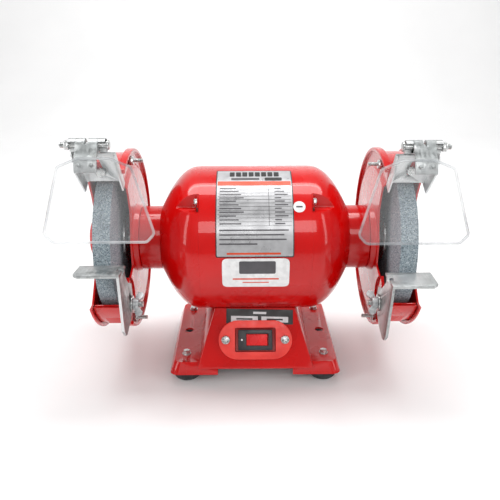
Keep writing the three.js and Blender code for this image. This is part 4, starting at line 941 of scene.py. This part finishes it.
# ---------------------------------------------------------------- deflectors and eye shields


def hinge_line(hand):
    """Depth and height of the hinge bolt of a side, and its two ends along the shaft."""
    bolt = f"shield_hinge_bolt_{hand}"
    low, high = in_millimetres(bolt)
    return (low.y + high.y) / 2, (low.z + high.z) / 2, *span(bolt)


def curl(start, end, opening, forward):
    """A strip of sheet curled round the hinge bolt, from forward degrees before its top to the back."""
    bore = 2.9
    shape = bmesh.new()
    ring = [shape.verts.new((x, 0, r)) for r, x in
            filleted([(bore, start), (CURL_RADIUS, start), (CURL_RADIUS, end), (bore, end)], 0.35, 2)]
    edges = [shape.edges.new((a, b)) for a, b in zip(ring, ring[1:] + ring[:1])]
    face = shape.faces.new(ring)
    bmesh.ops.spin(shape, geom=[face] + edges + ring, cent=(0, 0, 0), axis=(1, 0, 0), dvec=(0, 0, 0),
                   angle=-math.radians(360 - opening), steps=40, use_merge=False)
    bmesh.ops.remove_doubles(shape, verts=shape.verts, dist=1e-3)
    bmesh.ops.recalc_face_normals(shape, faces=shape.faces)
    bmesh.ops.rotate(shape, verts=shape.verts, cent=(0, 0, 0),
                     matrix=Matrix.Rotation(math.radians(forward), 3, "X"))
    return shape


def deflector(hand):
    depth, height, near, far = hinge_line(hand)
    first, last = near + 4.0, far - 8.5
    front_room = block((last - first + 4, 7.5, 9.8),
                       (SIGN[hand] * (first + last) / 2, depth - 4.2, height - 1.4))
    shape = softened(combined(cad_shape(f"spark_deflector_{hand}"), front_room, "DIFFERENCE"), 0.4)
    piece(f"deflector_{hand}", shape, GALVANISED, f"deflector_{hand}", [f"spark_deflector_{hand}"])
    lugs = joined(curl(first - 1.0, first + 5.0, 160, 30), curl(last - 6.0, last, 160, 30))
    piece(f"deflector_curls_{hand}", moved(lugs, (0, depth, height)), GALVANISED,
          f"deflector_{hand}", hand=hand)
    bolt = joined(plain_rod(2.4, near, far - 8), threaded(2.5, far - 8.5, far, 0.8),
                  hex_body(8.0, far - 8.2, far - 4.2),
                  solid_turned([(0, near - 0.4), (4.3, near + 0.2), (4.3, near + 2.2), (0, near + 2.4)],
                               0.8))
    piece(f"hinge_screw_{hand}", moved(bolt, (0, depth, height)), FASTENER, f"deflector_{hand}",
          [f"shield_hinge_bolt_{hand}"], hand)
    sheet_piece(f"deflector_screw_{hand}", f"deflector_bolt_{hand}", "frame", FASTENER,
                0.35)


def leaf_frame(hand):
    """The shield's own plane: across, up its slope and out of it, at the middle of its foot."""
    low, high = in_millimetres(f"eye_shield_{hand}")
    lean = math.atan2(*SHIELD_SLOPE)
    up = Vector((0, math.sin(lean), math.cos(lean)))
    out = Vector((0, -math.cos(lean), math.sin(lean)))
    return (low + high) / 2, up, out


def eye_shield(hand):
    """Clear sheet with rounded corners and a raised rim all round."""
    middle, up, out = leaf_frame(hand)
    lower = SHIELD_LENGTH / 2
    outline = []
    corners_up = [SHIELD_FOOT_CORNER] + SHIELD_CORNERS
    for corners, sign in ((corners_up, 1), (list(reversed(corners_up)), -1)):
        outline += [(SHIELD_LEAN_IN * (height / SHIELD_LENGTH - 0.5) + sign * across, height - lower)
                    for across, height in corners]
    shape = drawn_out(filleted(outline, 6.0, 5), -SHIELD_SHEET / 2, SHIELD_SHEET / 2, "Z")
    shape.faces.ensure_lookup_table()
    front = max(shape.faces, key=lambda f: f.calc_center_median().z)
    back = min(shape.faces, key=lambda f: f.calc_center_median().z)
    bmesh.ops.inset_region(shape, faces=[front], thickness=1.8, use_even_offset=True)
    bmesh.ops.inset_region(shape, faces=[front], thickness=0.5, depth=-0.8, use_even_offset=True)
    # Edges and the raised rim take the grey finish: painted shade on the clear sheet's edges.
    painted_faces(shape, 1, lambda f: f not in (front, back))
    moved(shape, matrix=Matrix(((1, 0, 0), (0, up.y, out.y), (0, up.z, out.z))).to_4x4())
    moved(shape, (SIGN[hand] * middle.x, middle.y, middle.z))
    piece(f"shield_{hand}", shape, [SHIELD, SHIELD_EDGE_SHADE], f"shield_{hand}", [f"eye_shield_{hand}"],
          hand, crease=40)


def bracket(hand):
    """The leaf behind the shield, its curls round the bolt, and two rivets."""
    depth, height, _, _ = hinge_line(hand)
    sheet_piece(f"bracket_{hand}", f"shield_bracket_{hand}", f"shield_{hand}", width=0.35)
    start, end = span(f"shield_bracket_{hand}")
    middle = (start + end) / 2
    curls = joined(curl(start, middle - 1.4, 95, 20), curl(middle + 1.4, end, 95, 20))
    piece(f"bracket_curls_{hand}", moved(curls, (0, depth, height)), GALVANISED, f"shield_{hand}",
          hand=hand)
    shield_middle, up, out = leaf_frame(hand)
    top = shield_middle + up * (SHIELD_LENGTH / 2 - 6.5)
    turn = out.to_track_quat("Z", "Y").to_matrix().to_4x4()
    for number, across in enumerate((-5.5, 5.5)):
        rivet = solid_turned([(0, -3.4), (1.8, -3.4), (1.8, -2.9), (1.1, -2.6), (1.1, 1.0), (1.9, 1.1),
                              (1.5, 1.8), (0, 2.1)], 0.2, 2, 24, "Z")
        spot = Vector((SIGN[hand] * middle + across, top.y, top.z))
        piece(f"rivet_{hand}_{number}", moved(rivet, matrix=Matrix.Translation(spot) @ turn),
              GALVANISED, f"shield_{hand}")


for side_name in ("left", "right"):
    deflector(side_name)
    eye_shield(side_name)
    bracket(side_name)

# ---------------------------------------------------------------- base


def base():
    """The pressed base: wide rounds on the outer corners, small ones elsewhere."""
    shape = cad_shape("base_housing")
    outer = [edge for edge in shape.edges
             if sharp(edge, 20) and edge.is_convex
             and abs(edge.verts[0].co.z - edge.verts[1].co.z) > 25
             and abs(edge.verts[0].co.x + edge.verts[1].co.x) / 2 > 44]
    bevelled(shape, outer, 5.0, 5)
    piece("base", softened(shape, 0.9, 3, 28), ENAMEL, "frame", ["base_housing"],
          crease=40)
    sheet_piece("base_plate", "bottom_plate", "frame")


def foot(row, hand):
    """A round rubber foot with a moulded step, held by a hex screw from above."""
    place = (SIGN[hand] * FOOT_PLACE[0], SIGN[row] * FOOT_PLACE[1])
    top = WING_TOP - 2.0 - GAP
    shoulder = FLOOR + FOOT_HEIGHT
    profile = filleted([(2.4, FLOOR + 4), (2.4, top), (FOOT_NECK, top), (FOOT_NECK, shoulder),
                        (FOOT_RADIUS, shoulder), (FOOT_RADIUS, FLOOR + 1.5), (FOOT_RADIUS - 1.5, FLOOR),
                        (5.5, FLOOR), (5.5, FLOOR + 4)],
                       [0, 0, 0.5, 0.5, 1.6, 1.0, 1.0, 0.6, 0.3], 3)
    piece(f"foot_{row}_{hand}", moved(turned(profile, 64, "Z"), (*place, 0)), RUBBER, "frame",
          [f"rubber_foot_{row}_{hand}"])
    lay = Matrix.Translation((*place, 0)) @ Matrix.Rotation(-math.pi / 2, 4, "Y")
    screw = joined(moved(hex_body(6.6, WING_TOP + 0.7, WING_TOP + 3.6), matrix=lay),
                   moved(solid_turned([(0, WING_TOP), (4.4, WING_TOP), (4.4, WING_TOP + 0.8),
                                       (0, WING_TOP + 0.8)], 0.3, 3, 40, "Z"), (*place, 0)))
    piece(f"foot_screw_{row}_{hand}", screw, FASTENER, "frame")


base()
for row_name in ("front", "rear"):
    for side_name in ("left", "right"):
        foot(row_name, side_name)

# ---------------------------------------------------------------- switch

FRONT_LEAN = math.atan2(HOUSING_LOW_DEPTH - HOUSING_HIGH_DEPTH, HOUSING_TOP - HOUSING_FOOT)


def slope(side, across, along):
    """A place on the leaning front (-1) or rear (+1) of the base; its own Z points out."""
    spot = Vector((across, side * (HOUSING_LOW_DEPTH - along * math.sin(FRONT_LEAN)),
                   HOUSING_FOOT + along * math.cos(FRONT_LEAN)))
    return Matrix.Translation(spot) @ Matrix.Rotation(-side * (math.pi / 2 - FRONT_LEAN), 4, "X")


FRONT = slope(-1, 0, SWITCH_ALONG)


def stadium(length, width, segments=20):
    half, radius = (length - width) / 2, width / 2
    right = [(half + radius * math.sin(t * math.pi / segments), -radius * math.cos(t * math.pi / segments))
             for t in range(segments + 1)]
    return right + [(-x, -y) for x, y in right]


def switch_plate():
    length, width, thickness = SWITCH_PLATE
    top = GAP + thickness
    floor = top - SWITCH_RECESS[2]
    shape = softened(drawn_out(stadium(length, width), GAP, top, "Z"), 0.8, 3, 60)
    recess = softened(block((SWITCH_RECESS[0], SWITCH_RECESS[1], 8), (0, 0, floor + 4)), 1.2, 3)
    shape = combined(shape, recess, "DIFFERENCE")

    def in_shaded_recess(face):
        middle = face.calc_center_median()
        return (abs(middle.x) < SWITCH_RECESS[0] / 2 + 0.1 and abs(middle.y) < SWITCH_RECESS[1] / 2 + 0.1
                and GAP + 0.5 < middle.z < top - 0.3)

    # The recess faces take the darker red: painted shade in the recess.
    painted_faces(shape, 1, in_shaded_recess)
    piece("coral_plate", moved(shape, matrix=FRONT), [CORAL, RECESS_SHADE], "frame", ["switch_plate"])
    for number, side in enumerate((-1, 1)):
        screw = solid_turned([(0, top - 0.2), (4.4, top - 0.2), (4.0, top + 1.5), (0, top + 2.2)],
                             [0, 0.2, 1.0, 0], 4, 40, "Z")
        for slot in ((4.6, 0.9, 2), (0.9, 4.6, 2)):
            screw = combined(screw, block(slot, (0, 0, top + 2.4)), "DIFFERENCE")
        turn = Matrix.Rotation(math.radians(20 + 35 * number), 4, "Z")
        lay = FRONT @ Matrix.Translation((side * SWITCH_SCREW_PLACE, 0, 0)) @ turn
        piece(f"plate_screw_{number}", moved(screw, matrix=lay), FASTENER, "frame")


def switch_bezel():
    low = GAP + SWITCH_PLATE[2] - SWITCH_RECESS[2] + GAP
    bezel = softened(block(BEZEL, (0, 0, low + BEZEL[2] / 2)), 0.9, 3)
    opening = block((ROCKER[0] + 1.4, ROCKER[1] + 1.2, 9), (ROCKER_OFFSET, 0, low + BEZEL[2]))
    opening = softened(opening, 0.5, 2)
    shape = combined(bezel, opening, "DIFFERENCE")
    piece("switch_bezel", moved(shape, matrix=FRONT), BLACK, "frame", ["switch_body"])
    # A dark block under the rocker's opening: painted shade for the switch's dark inside.
    well_shadow = block((ROCKER[0] + 1.4, ROCKER[1] + 1.2, 0.6), (ROCKER_OFFSET, 0, low - 2.6))
    piece("switch_well_shadow", moved(well_shadow, matrix=FRONT), SHADOW_FILL, "frame")
    face = low + BEZEL[2]
    dot = solid_turned([(0, face - 0.1), (0.9, face - 0.1), (0.9, face + 0.06), (0, face + 0.06)],
                       0.02, 2, 24, "Z")
    piece("on_mark", moved(dot, matrix=FRONT @ Matrix.Translation((-13.2, 0, 0))), WHITE_DOT, "frame")


def rocker():
    shape = softened(cad_shape("switch_rocker"), 0.5, 3, 25)
    piece("rocker", shape, ROCKER_RED, "rocker", ["switch_rocker"], crease=40)


def voltage_label():
    """A black film above the switch with two plain silver fields."""
    tilt = Matrix.Rotation(math.radians(-1.5), 4, "Z")
    lay = FRONT @ Matrix.Translation((4.5, 22.6, 0)) @ tilt
    film = softened(block((66, 14.5, 0.24), (0, 0, 0.16)), 0.06, 1)
    piece("switch_label", moved(film, matrix=lay), BLACK_INK, "frame")
    fields = both(lambda side: block((26.5, 5.6, 0.1), (side * 15, -2.6, 0.34)))
    piece("switch_label_fields", moved(fields, matrix=lay), SILVER_FOIL, "frame")
    marks = both(lambda side: block((16, 1.6, 0.06), (side * 15, -2.6, 0.42)))
    piece("switch_label_marks", moved(marks, matrix=lay), BLACK_INK, "frame")
    heading = block((13, 2.2, 0.1), (0, 3.6, 0.34))
    piece("switch_label_heading", moved(heading, matrix=lay), SILVER_FOIL, "frame")


def gland():
    """The cord's entry at the rear: a nut against the base and a tapered sleeve."""
    rear = slope(1, 34.0, 20.0)
    profile = filleted([(3.8, -9), (8, -9), (8, GAP), (11, GAP), (11, 5), (8, 8), (6.2, 14), (3.8, 15)],
                       [0, 0.3, 0, 0.5, 0.8, 1.2, 1.0, 0.4], 3)
    piece("gland", moved(turned(profile, 48, "Z"), matrix=rear), BLACK, "frame", ["cable_gland"])


switch_plate()
switch_bezel()
rocker()
voltage_label()
gland()

# ---------------------------------------------------------------- room, light and camera

FLOOR_HALF_WIDTH = 2.2
FLOOR_FRONT = -2.2
WALL_START = 1.0                          # where the floor begins to sweep up into the backdrop
WALL_ROUND = 0.6
WALL_TOP = 2.4
CAMERA_PLACE = SHAFT + Vector((-10.0, -553.9, 217.8)) * MM
CAMERA_LOOK = Vector((0.0092, 0.9221, -0.3868))
CAMERA_LENS = 42.34
CAMERA_ROLL = -0.002


def room():
    white = (0.86, 0.86, 0.86, 1)
    floor_finish = Finish("pale_floor", white, 0.6).mottled(6.0, 3.0, white, (0.88, 0.88, 0.88, 1))
    line = [(FLOOR_FRONT, 0.0), (WALL_START, 0.0)]
    line += [(WALL_START + WALL_ROUND * math.sin(t), WALL_ROUND * (1 - math.cos(t)))
             for t in (math.pi / 2 * step / 24 for step in range(1, 25))]
    line.append((WALL_START + WALL_ROUND, WALL_TOP))
    shape = bmesh.new()
    rows = [[shape.verts.new((x, depth, height)) for depth, height in line]
            for x in (-FLOOR_HALF_WIDTH, FLOOR_HALF_WIDTH)]
    for i in range(len(line) - 1):
        face = shape.faces.new((rows[0][i], rows[1][i], rows[1][i + 1], rows[0][i + 1]))
        face.smooth = True
    floor = placed("floor", mesh_of("floor", shape))
    floor.data.materials.append(floor_finish.material)


def lamp(name, place, target, size, power):
    light = bpy.data.lights.new(name, "AREA")
    light.shape = "RECTANGLE"
    light.size, light.size_y = size
    light.energy = power
    made = placed(name, light)
    made.location = place
    made.rotation_euler = (Vector(target) - Vector(place)).to_track_quat("-Z", "Y").to_euler()


def studio():
    world = bpy.data.worlds.new("studio")
    bpy.context.scene.world = world
    world.use_nodes = True
    background = world.node_tree.nodes["Background"]
    background.inputs["Color"].default_value = (1, 1, 1, 1)
    background.inputs["Strength"].default_value = 0.3
    middle = (0, 0, 0.12)
    lamp("overhead", (0.0, 0.18, 1.3), middle, (1.8, 0.4), 13)
    lamp("left_strip", (-0.95, -0.55, 0.6), middle, (0.25, 0.9), 3.2)
    lamp("right_strip", (0.95, -0.55, 0.6), middle, (0.25, 0.9), 2.6)
    lamp("front", (0.1, -1.3, 1.1), middle, (0.9, 0.5), 6)
    lamp("backdrop", (0.0, 0.5, 1.5), (0, 1.6, 0.3), (2.0, 0.4), 14)
    bpy.context.scene.view_settings.view_transform = "Standard"


def camera():
    made = placed("camera", bpy.data.cameras.new("camera"))
    made.data.lens = CAMERA_LENS
    made.data.sensor_width = 36
    made.location = CAMERA_PLACE
    turn = CAMERA_LOOK.to_track_quat("-Z", "Y").to_matrix().to_4x4()
    made.rotation_euler = (turn @ Matrix.Rotation(CAMERA_ROLL, 4, "Z")).to_euler()
    bpy.context.scene.camera = made


room()
studio()
camera()
